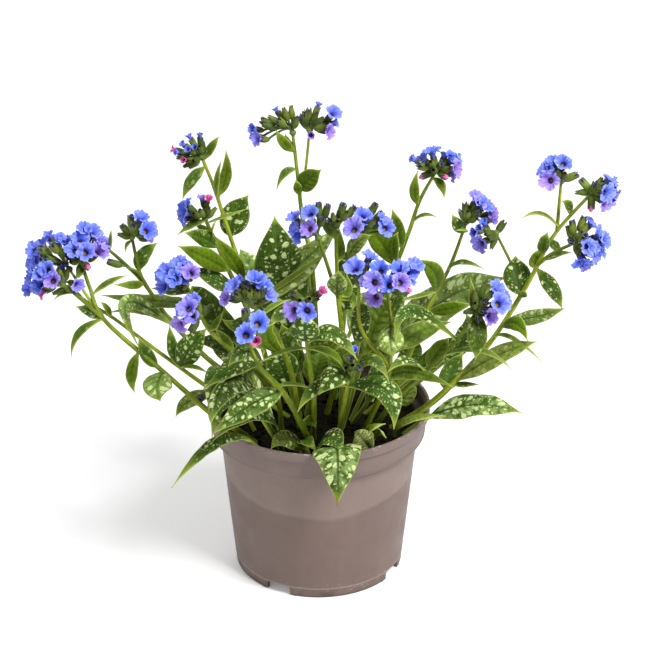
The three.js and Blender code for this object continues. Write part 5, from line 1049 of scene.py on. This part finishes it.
def pot_finish():
    """Thin moulded taupe plastic: faint flow marks, a hazy paler band on the
    front of the wall under the collar, scuffs and a pale moulding line at the
    foot, scuffs on the lip, an inner wall painted dark as the shade inside the
    pot, and soil stains near the foot."""
    material, s, surface = finish_of("pot_plastic", Specular_IOR_Level=0.3)
    place = s.place()
    x, y, z = s.parts("SeparateXYZ", place)
    foot, collar, rim = FOOT_RING_HEIGHT * MM, UNDER_COLLAR * MM, POT_HEIGHT * MM
    colour = s.group(MOTTLE, Colour=(0.142, 0.097, 0.083), Scale=26.0, Amount=0.16)["Colour"]

    haze_foot = x * x * 1.6 + 0.068
    haze = s.span(z + s.noise(place, 22.0, 2.0) * 0.010, haze_foot, haze_foot + 0.004)
    haze = haze * s.span(z, collar - 0.0005, collar + 0.0005, 1.0, 0.0)
    haze = haze * s.span(y, -0.02, 0.0, 1.0, 0.0)
    colour = s.mix(haze * 0.23, colour, (0.34, 0.27, 0.24))

    upright = s.stretched(place, (90.0, 90.0, 6.0))
    flow = s.span(s.noise(upright, 1.0), 0.5, 0.75)
    colour = s.mix(flow * 0.08, colour, (0.29, 0.22, 0.195))
    scuffs = s.span(s.noise(s.stretched(place, (260.0, 260.0, 1400.0)), 1.0), 0.60, 0.68)
    at_foot = s.span(z, 0.0, foot - 0.0012) * s.span(z, foot + 0.0055, foot + 0.0002)
    at_lip = s.span(z, rim - 0.004, rim - 0.001)
    scuffed = s.maths("MULTIPLY", scuffs, at_foot + at_lip, clamp=True)
    colour = s.mix(scuffed * 0.50, colour, (0.44, 0.40, 0.37))
    moulding = s.span(z, foot - 0.0012, foot - 0.0004) * s.span(z, foot + 0.001, foot)
    colour = s.mix(moulding * 0.35, colour, (0.36, 0.31, 0.28))
    colour = s.mix(s.span(z, collar - 0.0015, collar + 0.0005) * 0.09, colour, (0.33, 0.29, 0.29))

    radius = s.maths("SQRT", x * x + y * y)
    inner = COLLAR_FOOT_RADIUS * MM
    shaded_inner_wall = s.span(radius, inner + 0.0004, inner - 0.0006)
    shaded_inner_wall = shaded_inner_wall * s.span(z, collar + 0.0005, collar + 0.0015)
    # Painted shade: the inner wall near the rim is darkened as the shade inside the pot.
    colour = s.mix(shaded_inner_wall * 0.8, colour, (0.035, 0.026, 0.020))

    specks = s.span(s.noise(place, 900.0, 2.0, 0.6), 0.66, 0.72)
    patches = s.span(s.noise(place, 70.0), 0.45, 0.62)
    dirt = specks * patches * (s.span(z, foot + 0.023, foot - 0.003) * 0.9 + 0.05)
    grime = s.span(z, foot + 0.0005, 0.0, 0.0, 0.75) * patches
    ground_edge = s.span(z, 0.0018, 0.0003) * 0.75
    stained = s.maths("MAXIMUM", s.maths("MAXIMUM", dirt, grime), ground_edge)
    colour = s.mix(stained, colour, (0.050, 0.040, 0.014))
    grain = s.noise(place, 1400.0, 2.0) * 0.4 + s.noise(upright, 0.6)
    sheen = s.span(s.noise(place, 60.0, 4.0), 0.3, 0.7, 0.46, 0.60)
    rough = s.maths("ADD", sheen, shaded_inner_wall * 0.35, clamp=True)
    plug(s, surface, colour, rough, grain, 0.0002, 0.25)
    return material


def soil_finish():
    """Damp black peat, painted darker still as the shade under the leaves,
    with brown fibres and a few pale grains.
    """
    material, s, surface = finish_of("potting_soil", Specular_IOR_Level=0.06)
    place = s.place()
    tone = s.span(s.noise(place, 240.0, 5.0, 0.7), 0.35, 0.7)
    # Near-black: the peat's own dark colour, darkened further as painted shade under the leaves.
    colour = s.mix(tone, (0.002, 0.0015, 0.0008), (0.010, 0.0075, 0.002))
    grains = s.span(s.noise(place, 520.0, 2.0), 0.70, 0.74)
    colour = s.mix(grains * 0.6, colour, (0.10, 0.08, 0.03))
    height = s.noise(place, 300.0, 5.0, 0.7) + s.noise(place, 90.0) * 1.5
    plug(s, surface, colour, s.span(tone, 0.0, 1.0, 0.6, 0.95), height, 0.0012, 0.9)
    return material


def pot_section():
    """The pot's closed section as (radius, height): straight runs between the
    corners, each corner rounded by a quadratic curve of its own radius. Runs
    are split evenly, so that no step is too long."""
    shoulder = POT_HEIGHT - SHOULDER_DEPTH
    under_lip = POT_HEIGHT - LIP_HEIGHT
    floor_top = FOOT_RING_HEIGHT + FLOOR
    foot_inner = BASE_RADIUS - FOOT_RING_WIDTH
    corners = [
        (foot_inner, FOOT_RING_HEIGHT, 0.2), (foot_inner, 0, 0.3), (BASE_RADIUS - 0.4, 0, 0.5),
        (BASE_RADIUS - 0.05, FOOT_RING_HEIGHT - 0.9, 0.15),
        (BASE_RADIUS + 0.25, FOOT_RING_HEIGHT - 0.5, 0.2),
        (BASE_RADIUS + 0.3, FOOT_RING_HEIGHT, 0.3), (WALL_TOP_RADIUS, UNDER_COLLAR, 0.5),
        (COLLAR_FOOT_RADIUS, UNDER_COLLAR, 0.6), (COLLAR_TOP_RADIUS, under_lip, 0.25),
        (RIM_RADIUS - 0.1, under_lip, 0.5), (RIM_RADIUS, POT_HEIGHT, 0.8),
        (RIM_RADIUS - 2, POT_HEIGHT, 0.6), (COLLAR_FOOT_RADIUS - WALL, shoulder, 0.5),
        (WALL_TOP_RADIUS - WALL + 1, shoulder - 1, 0.4),
        (WALL_TOP_RADIUS - WALL, UNDER_COLLAR, 0.5), (BASE_RADIUS - WALL, floor_top, 0.6),
    ]
    places = [(0, FOOT_RING_HEIGHT)] + [corner[:2] for corner in corners] + [(0, floor_top)]
    before, here, after = (np.array(places[i:len(places) - 2 + i], float) for i in range(3))
    size = np.array([corner[2] for corner in corners])[:, None]
    start, end = here + size * unit(before - here), here + size * unit(after - here)
    t = np.linspace(0, 1, 5)[:, None]
    points = bent(start[:, None], here[:, None], end[:, None], t).reshape(-1, 2)
    step = np.diff(points, axis=0)
    count = np.maximum(1, np.ceil(np.linalg.norm(step, axis=1) / LONGEST_STEP)).astype(int)
    run = np.repeat(np.arange(len(step)), count)
    nth = np.arange(len(run)) - np.repeat(np.cumsum(count) - count, count) + 1
    return np.vstack([points[:1], points[run] + step[run] * nth[:, None] / count[run, None]])


def make_pot(material):
    """The section turned about Z, a little out of round, its axis points closed
    by caps, with small ribs beside each notch; the notches and drain holes are
    cut out."""
    radius, height = pot_section().T[..., None]
    angle = steps_round(POT_STEPS)
    at_foot = (radius > BASE_RADIUS - 1) & (height < FOOT_RING_HEIGHT - 0.4)
    beside = (NOTCH_WIDTH / 2 + NOTCH_RIB_DISTANCE) / BASE_RADIUS
    ribs = np.zeros_like(angle)
    for degrees in NOTCH_ANGLES:
        for side in (-1, 1):
            middle = math.radians(degrees - 90) + side * beside
            off = (angle - middle + math.pi) % TURN - math.pi
            ribs += NOTCH_RIB_HEIGHT * np.exp(-((off * BASE_RADIUS / 0.8) ** 2))
    r = radius + at_foot * ribs
    z = height + np.zeros_like(angle)
    ring = np.stack([r * np.cos(angle), r * np.sin(angle), z], -1)
    r = r + (0.12 * np.sin(3 * angle + 0.6) * (height > 60) + 0.06 * ripple(ring, 40, 3))
    pot = Sheaf()
    pot.add(np.stack([r * np.cos(angle), r * np.sin(angle), z], -1))
    obj = pot.piece("pot_shell", material, "pot", "pot")

    turns = np.radians(NOTCH_ANGLES)
    cutters = [cutter(shape(), turn) for turn in turns for shape in (notch_rings, drain_rings)]
    for cutter_object in cutters:
        cut = obj.modifiers.new("cut", "BOOLEAN")
        cut.operation, cut.solver, cut.object = "DIFFERENCE", "EXACT", cutter_object
    bpy.context.view_layer.update()
    seen = obj.evaluated_get(bpy.context.evaluated_depsgraph_get())
    whole, obj.data = obj.data, bpy.data.meshes.new_from_object(seen)
    obj.modifiers.clear()
    # A cutter goes with its mesh.
    for mesh in [whole] + [cutter_object.data for cutter_object in cutters]:
        bpy.data.meshes.remove(mesh)
    obj.data.polygons.foreach_set("use_smooth", np.ones(len(obj.data.polygons), bool))
    obj.data.set_sharp_from_angle(angle=math.radians(35))


def notch_rings():
    """The ends of a box with cut-off upper corners, across the foot ring."""
    w, h, k = NOTCH_WIDTH / 2, NOTCH_HEIGHT, NOTCH_CORNER
    outline = [(-w, -h), (w, -h), (w, h - k), (w - k * 0.3, h - k * 0.3), (w - k, h),
               (-w + k, h), (-w + k * 0.3, h - k * 0.3), (-w, h - k)]
    ends = (NOTCH_DEPTH / 2 - BASE_RADIUS, -NOTCH_DEPTH / 2 - BASE_RADIUS)
    return np.array([[(x, y, z) for x, z in outline] for y in ends])


def drain_rings():
    """A short upright cylinder through the floor."""
    angle = steps_round(DRAIN_STEPS)
    x, y = DRAIN_RADIUS * np.cos(angle), DRAIN_RADIUS * np.sin(angle) - DRAIN_RING_RADIUS
    ends = (FOOT_RING_HEIGHT - 3, FOOT_RING_HEIGHT + 5)
    return np.array([np.stack([x, y, np.full(DRAIN_STEPS, z)], -1) for z in ends])


def cutter(rings, turn):
    """The rings, turned about Z, as a hidden object that cuts the pot."""
    c, s = math.cos(turn), math.sin(turn)
    sheaf = Sheaf()
    sheaf.add(rings @ np.array([[c, s, 0], [-s, c, 0], [0, 0, 1]]))
    obj = placed("cutter", sheaf.mesh("cutter"))
    obj.hide_render = True
    return obj


def soil_height(x, y):
    """Lumpy peat: three sizes of ripples over a low dome."""
    p = np.stack([x, y, np.zeros_like(x)], -1)
    dome = 1.4 * (1 - (x**2 + y**2) / 64**2)
    return (SOIL_TOP - 1.2 + dome + 0.9 * ripple(p, 22, 11)
            + 0.55 * ripple(p, 8, 12) + 0.3 * ripple(p, 3.4, 13))


def make_soil(material):
    """A closed disc with a lumpy top, and six-sided crumbs strewn over it."""
    rings, around = SOIL_GRID
    angle = steps_round(around)
    cos, sin = np.cos(angle), np.sin(angle)
    wall = WALL_TOP_RADIUS - WALL - SOIL_GAP
    foot = BASE_RADIUS - WALL - SOIL_GAP
    bottom = FOOT_RING_HEIGHT + FLOOR + 0.3
    corners = ((foot * 0.5, bottom), (foot, bottom), (foot + 0.3, bottom + 4), (wall, UNDER_COLLAR))
    sides = [np.stack([r * cos, r * sin, np.full(around, z)], -1) for r, z in corners]
    radii = np.concatenate([[0.5], np.linspace(1.5, wall, rings)])[:, None]
    x, y = radii * cos, radii * sin
    top = np.stack([x, y, soil_height(x, y)], -1)
    sheaf = Sheaf()
    sheaf.add(np.concatenate([sides, top[::-1]]))

    rng = np.random.default_rng(SEED["crumbs"])
    t = steps_round(6)
    for size in rng.uniform(0.7, 2.1, CRUMBS):
        a, r = rng.uniform(0, TURN), wall * math.sqrt(rng.uniform(0.02, 0.9))
        place = np.array([r * math.cos(a), r * math.sin(a)])
        place = np.append(place, soil_height(*place) + 0.3 * size)
        crumb = []
        for girth, rise in ((0.45, -0.7), (0.95, -0.2), (0.9, 0.3), (0.4, 0.75)):
            x, y = (girth * size * way * rng.uniform(0.7, 1.2, 6) for way in (np.cos(t), np.sin(t)))
            crumb.append(np.stack([x, y, np.full(6, rise * size)], -1))
        sheaf.add(np.array(crumb) + place)
    sheaf.piece("soil_peat", material, "soil", "soil")


def add_leaf(sheaf, base, mid, tip, width, facing, stalk, kind, rng):
    """One leaf in its kind's colours, on a coarser grid if it is small."""
    grid = STEM_LEAF_GRID if width > SMALL_LEAF_WIDTH else SMALL_LEAF_GRID
    if stalk > 0:
        grid = CROWN_LEAF_GRID
    rings, shade = leaf_rings(base, mid, tip, width, facing, stalk, grid, rng)
    upper, under, spots, silver = LEAF_KINDS[kind]
    sheaf.add(rings, tone=varied(rng, upper), deep=varied(rng, under), spots=spots, silver=silver,
              dry=rng.random() < DRY_TIP_SHARE, **shade)


def add_stem_hairs(sheaf, path, radius, rng, values, per_mm=1.6):
    """Short hairs square to the stem, scattered along it."""
    n = int(length_of(path) * per_mm)
    t = rng.uniform(0.06, 0.99, n)
    at = t * (len(path) - 1)
    i = np.minimum(at.astype(int), len(path) - 2)
    f = (at - i)[:, None]
    centre = path[i] * (1 - f) + path[i + 1] * f
    along = unit(path[i + 1] - path[i])
    out = swing(rng.uniform(0, TURN, n), *square_to(along))
    r = np.interp(t, np.linspace(0, 1, len(path)), radius)[:, None]
    sheaf.hairs(centre + out * r * 0.97, out + 0.25 * along, rng.uniform(0.7, 1.4, n), values)


def add_stem(sheaf, path, radius, around, tone, index, seed, rng):
    """A ridged tube with its hairs. Each point knows the length along the stem
    in millimetres and the angle round it, as a wave without a seam."""
    steps = np.linalg.norm(np.diff(path, axis=0), axis=1)
    along = np.concatenate([[0], np.cumsum(steps)])[:, None]
    angle = steps_round(around)
    turned = 2.2 * np.sin(angle) + 1.1 * np.sin(2 * angle + 1.0)
    rings = tube_rings(path, radius, around, 0.05, index)
    sheaf.add(rings, tone=tone, seed=seed, along=along, turned=turned)
    add_stem_hairs(sheaf, path, radius, rng, STEM_HAIR)


def make_stems(stem_material, leaf_material):
    """Each stem with its side shoots, and beside it its own leaves. Gives back
    the curve of every stem and shoot, with the stem that it belongs to."""
    curves, greens, leaves = {}, {}, {}
    for index, (name, points, foot, tip) in enumerate(STEMS):
        rng = np.random.default_rng(SEED["stem"] + index)
        curves[name] = (np.array(points, float), name)
        greens[name] = Sheaf()
        steps, around = STEM_GRID
        t = np.linspace(0, 1, steps)
        swell = 1 + 0.03 * np.sin(t * 37 + index)
        radius = (foot + (tip - foot) * t) / 2 * swell + 0.4 * ease(t, 0.08, 0.0)
        height = t[:, None, None]
        # Painted shade: each stem is darker towards its foot, in the shade inside the pot under the
        # leaves; towards its tip it is a little bluer, its own colour.
        shade = (1 - 0.45 * ease(height, 0.22, 0.0)) * varied(rng, STEM_TONES[index % 3])
        shade = shade + ease(height, 0.5, 1.0) * np.array([-0.03, -0.03, 0.0])
        add_stem(greens[name], spline(points, t), radius, around, shade, index, index, rng)
    for index, (name, parent, along, points, start, tip) in enumerate(SHOOTS):
        rng = np.random.default_rng(SEED["shoot"] + index)
        stem_points, node = curves[parent]
        line = np.vstack([spline(stem_points, along), np.array(points, float)])
        curves[name] = (line, node)
        steps, around = SHOOT_GRID
        t = np.linspace(0, 1, steps)
        tone = varied(rng, STEM_TONES[index % 3])
        radius = (start + (tip - start) * t) / 2
        add_stem(greens[node], spline(line, t), radius, around, tone, index, 40 + index, rng)
    for index, (parent, along, mid, tip, width, facing, kind) in enumerate(STEM_LEAVES):
        rng = np.random.default_rng(SEED["stem_leaf"] + index)
        line, node = curves[parent]
        sheaf = leaves.setdefault(node, Sheaf())
        add_leaf(sheaf, spline(line, along)[0], mid, tip, width, facing, 0, kind, rng)
    for node, sheaf in greens.items():
        sheaf.piece("stalk_" + node, stem_material, "stems", "stem_" + node)
    for node, sheaf in leaves.items():
        sheaf.piece("stalk_leaves_" + node, leaf_material, "leaves", "stem_" + node)
    return curves


def make_crown(leaf_material):
    """The leaves that rise from the soil, those with one name as one piece."""
    sheaves = {}
    for index, (name, foot, mid, tip, width, facing, stalk, kind) in enumerate(CROWN_LEAVES):
        rng = np.random.default_rng(SEED["crown_leaf"] + index)
        sheaf = sheaves.setdefault(name, Sheaf())
        base = (*foot, SOIL_TOP - LEAF_FOOT_DEPTH)
        add_leaf(sheaf, base, mid, tip, width, facing, stalk, kind, rng)
    for name, sheaf in sheaves.items():
        sheaf.piece("crown_" + name, leaf_material, "leaves", "leaf_" + name)


def add_calyx(green, foot, axis, scale, opened, rng):
    """A hairy five-toothed cup, more or less open, with its hairs."""
    tone = varied(rng, CALYX_GREENS[rng.integers(3)])
    spin = rng.uniform(0, TURN)
    rings, reach, _, _ = lobed_shell(
        CALYX, foot, axis, rng, scale=scale, spread=opened, spin=spin, ruffle=0.06,
        notch=0.06 + 0.24 * opened, sharp=1.2, wall=0.32, grid=CALYX_GRID)
    green.add(rings, tone=tone, reach=reach)
    around, outer, _ = CALYX_GRID
    rows, columns = rng.integers(2, outer - 1, CALYX_HAIRS), rng.integers(0, around, CALYX_HAIRS)
    feet, way = rings[rows, columns], unit(axis)
    out = unit(feet - (foot + way * ((feet - foot) @ way)[:, None]))
    green.hairs(feet, out + 0.5 * way, rng.uniform(0.6, 1.2, CALYX_HAIRS), CALYX_HAIR)


def add_flower_stalk(green, hub, foot, axis, start, rng):
    """A thin bent stalk from the cushion to the foot of a calyx."""
    bend = hub + np.linalg.norm(foot - hub) * 0.45 * unit(unit(start) + unit(axis))
    t = np.linspace(0, 1, 9)[:, None]
    path = bent(hub, bend, foot + unit(axis) * 0.6, t)
    radius = 0.62 + 0.25 * t[:, 0] ** 2
    green.add(tube_rings(path, radius, 8), tone=varied(rng, FLOWER_STALK_GREEN), reach=0.1)
    add_stem_hairs(green, path, radius, rng, CALYX_HAIR, per_mm=1.8)


def petal_tones(kind, rng):
    """The kind's colours, the blue drawn a little towards violet, and varied."""
    share = rng.uniform(0, 0.32) * (kind == "blue")
    pairs = zip(PETALS[kind], PETALS["violet"])
    return [varied(rng, (1 - share) * np.array(a) + share * np.array(b), 0.10) for a, b in pairs]


def add_corolla(petals, foot, axis, size, kind, rng):
    """An open flower; a small one is still narrow."""
    tone, deep = petal_tones(kind, rng)
    wide, stretch = (0.62, 1.15) if size < 0.75 else (1.0, 1.0)
    rings, _, disc, inside = lobed_shell(
        COROLLA, foot, axis, rng, scale=min(1.12, size * stretch),
        spread=wide * rng.uniform(0.86, 1.06), spin=rng.uniform(0, TURN),
        ruffle=rng.uniform(0.7, 1.25), notch=0.19, sharp=0.6, wall=0.16, grid=COROLLA_GRID)
    petals.add(rings, tone=tone, deep=deep, disc=disc, inside=inside, seed=rng.uniform(0, 40))


def add_bud(petals, foot, axis, size, kind, rng):
    """A closed bud: a pointed, slightly twisted egg with five soft ribs."""
    x, y, z = basis(axis, rng.uniform(0, TURN))
    t = np.linspace(0, 1, 10)
    angle = steps_round(15)[None]
    h, r = (spline(BUD, t) * size).T[..., None]
    r = r * (1 + 0.08 * np.cos(5 * angle))
    rings = foot + r[..., None] * swing(angle + t[:, None] * 0.8, x, y) + h[..., None] * z
    tone, deep = petal_tones(kind, rng)
    disc = np.stack(np.broadcast_arrays(np.cos(angle), np.sin(angle), 0.7 + 0.3 * t[:, None]), -1)
    petals.add(rings, tone=tone, deep=deep, disc=disc, inside=0.0, seed=rng.uniform(0, 40))


def add_head_item(green, petals, hub, start, mouth, kind, size, rng):
    """One flower, opening bud, closed bud or bare calyx, on its own stalk."""
    coloured = kind in PETALS and kind != "faded"
    flower = coloured and size > 0.55
    axis = unit(mouth)
    longest = STALK_LENGTH_BEHIND_FLOWER * min(1, size) if flower else CALYX_LENGTH_BEHIND_MOUTH
    length = min(longest, np.linalg.norm(mouth) - 1.5)
    if flower:
        axis = unit(axis + 0.30 * TO_LIGHT + rng.normal(0, 0.12, 3))
    foot = hub + mouth - axis * length
    add_flower_stalk(green, hub + start * 1.2, foot, axis, start, rng)
    if flower:
        add_calyx(green, foot, axis, 1.02 * min(1.0, size + 0.15), 1.0, rng)
        add_corolla(petals, foot, axis, size, kind, rng)
        return
    peeping = kind == "faded" or rng.random() < 0.25
    shut = not (coloured or peeping or kind == "bud")
    add_calyx(green, foot, axis, 0.95 if coloured else 1.12, 0.45 if shut else 0.9, rng)
    if kind == "faded":
        add_corolla(petals, foot + axis * 3.2, axis, 0.42, "faded", rng)
    elif kind == "bud":
        add_bud(petals, foot + axis * 4.6, axis, 1.2, "rose", rng)
    elif coloured:
        add_corolla(petals, foot + axis * 2.6, axis, 0.42 + 0.2 * size, kind, rng)
    elif peeping:
        add_corolla(petals, foot + axis * 3.4, axis, 0.30, "faded", rng)


def make_heads(curves, calyx_material, petal_material):
    """Each head: a cushion on the stem tip, stalks, calyces, buds and flowers."""
    greens, blooms = {}, {}
    for index, (name, items) in enumerate(HEADS):
        rng = np.random.default_rng(SEED["head"] + index)
        node = GROWN_INTO.get(name, name)
        green, petals = greens.setdefault(node, Sheaf()), blooms.setdefault(node, Sheaf())
        before, hub = spline(curves[name][0], [0.97, 1.0])
        start = unit(hub - before)
        if name not in ON_STEM:
            t = np.linspace(0, 1, 9)
            cushion = hub + (4.2 * t[:, None] - 1.6) * start
            girth = 0.5 + 1.9 * np.sin(np.pi * (0.12 + 0.82 * t))
            green.add(tube_rings(cushion, girth, 12), tone=varied(rng, CUSHION_GREEN), reach=0.0)
        for *mouth, kind, size in items:
            add_head_item(green, petals, hub, start, np.array(mouth, float), kind, size, rng)
    parts = {node: "stem_" + curves[node][1] if node in ON_STEM else "flowers_" + node
             for node in greens}
    for node, green in greens.items():
        green.piece("calyces_" + node, calyx_material, "stems", parts[node])
    for node, petals in blooms.items():
        if petals.count:
            petals.piece("petals_" + node, petal_material, "flowers", parts[node])


def make_stage():
    """Camera at the photograph's place, a pale floor and soft studio light."""
    scene = bpy.context.scene
    camera = placed("camera", bpy.data.cameras.new("camera"))
    back = CAMERA_DISTANCE * np.array([0, -math.cos(CAMERA_RISE), math.sin(CAMERA_RISE)])
    camera.location = np.array(CAMERA_AIM) * MM + back
    camera.rotation_euler = (math.pi / 2 - CAMERA_RISE, 0, 0)
    camera.data.lens = FOCAL_PIXELS / PHOTO_WIDTH * SENSOR_WIDTH
    camera.data.clip_end = 20
    scene.camera = camera

    sheet = bpy.data.meshes.new("floor")
    sheet.from_pydata([(-6, -6, 0), (6, -6, 0), (6, 6, 0), (-6, 6, 0)], [], [(0, 1, 2, 3)])
    paper = finish_of(
        "floor_paper", Roughness=0.9, Base_Color=(0.80, 0.80, 0.80), Specular_IOR_Level=0.1,
        Emission_Color=(1.0, 1.0, 1.0), Emission_Strength=0.16)[0]
    sheet.materials.append(paper)
    floor = placed("floor", sheet)
    floor.location = (0, 0, -0.0004)

    scene.world = bpy.data.worlds.new("studio")
    scene.world.use_nodes = True
    sky = scene.world.node_tree.nodes["Background"].inputs
    sky["Color"].default_value, sky["Strength"].default_value = (1, 1, 1, 1), 0.43
    for name, energy, size, place in LAMPS:
        lamp = placed(name, bpy.data.lights.new(name, "AREA"))
        lamp.data.energy, lamp.data.size = energy, size
        lamp.location = place
        x, y, z = np.array(LAMP_AIM) - np.array(place)
        lamp.rotation_euler = (math.atan2(math.hypot(x, y), -z), 0, math.atan2(-x, y))
    scene.view_settings.view_transform = "Standard"


make_stage()
make_pot(pot_finish())
make_soil(soil_finish())
LEAF = leaf_finish()
CURVES = make_stems(stem_finish(), LEAF)
make_crown(LEAF)
make_heads(CURVES, calyx_finish(), petal_finish())
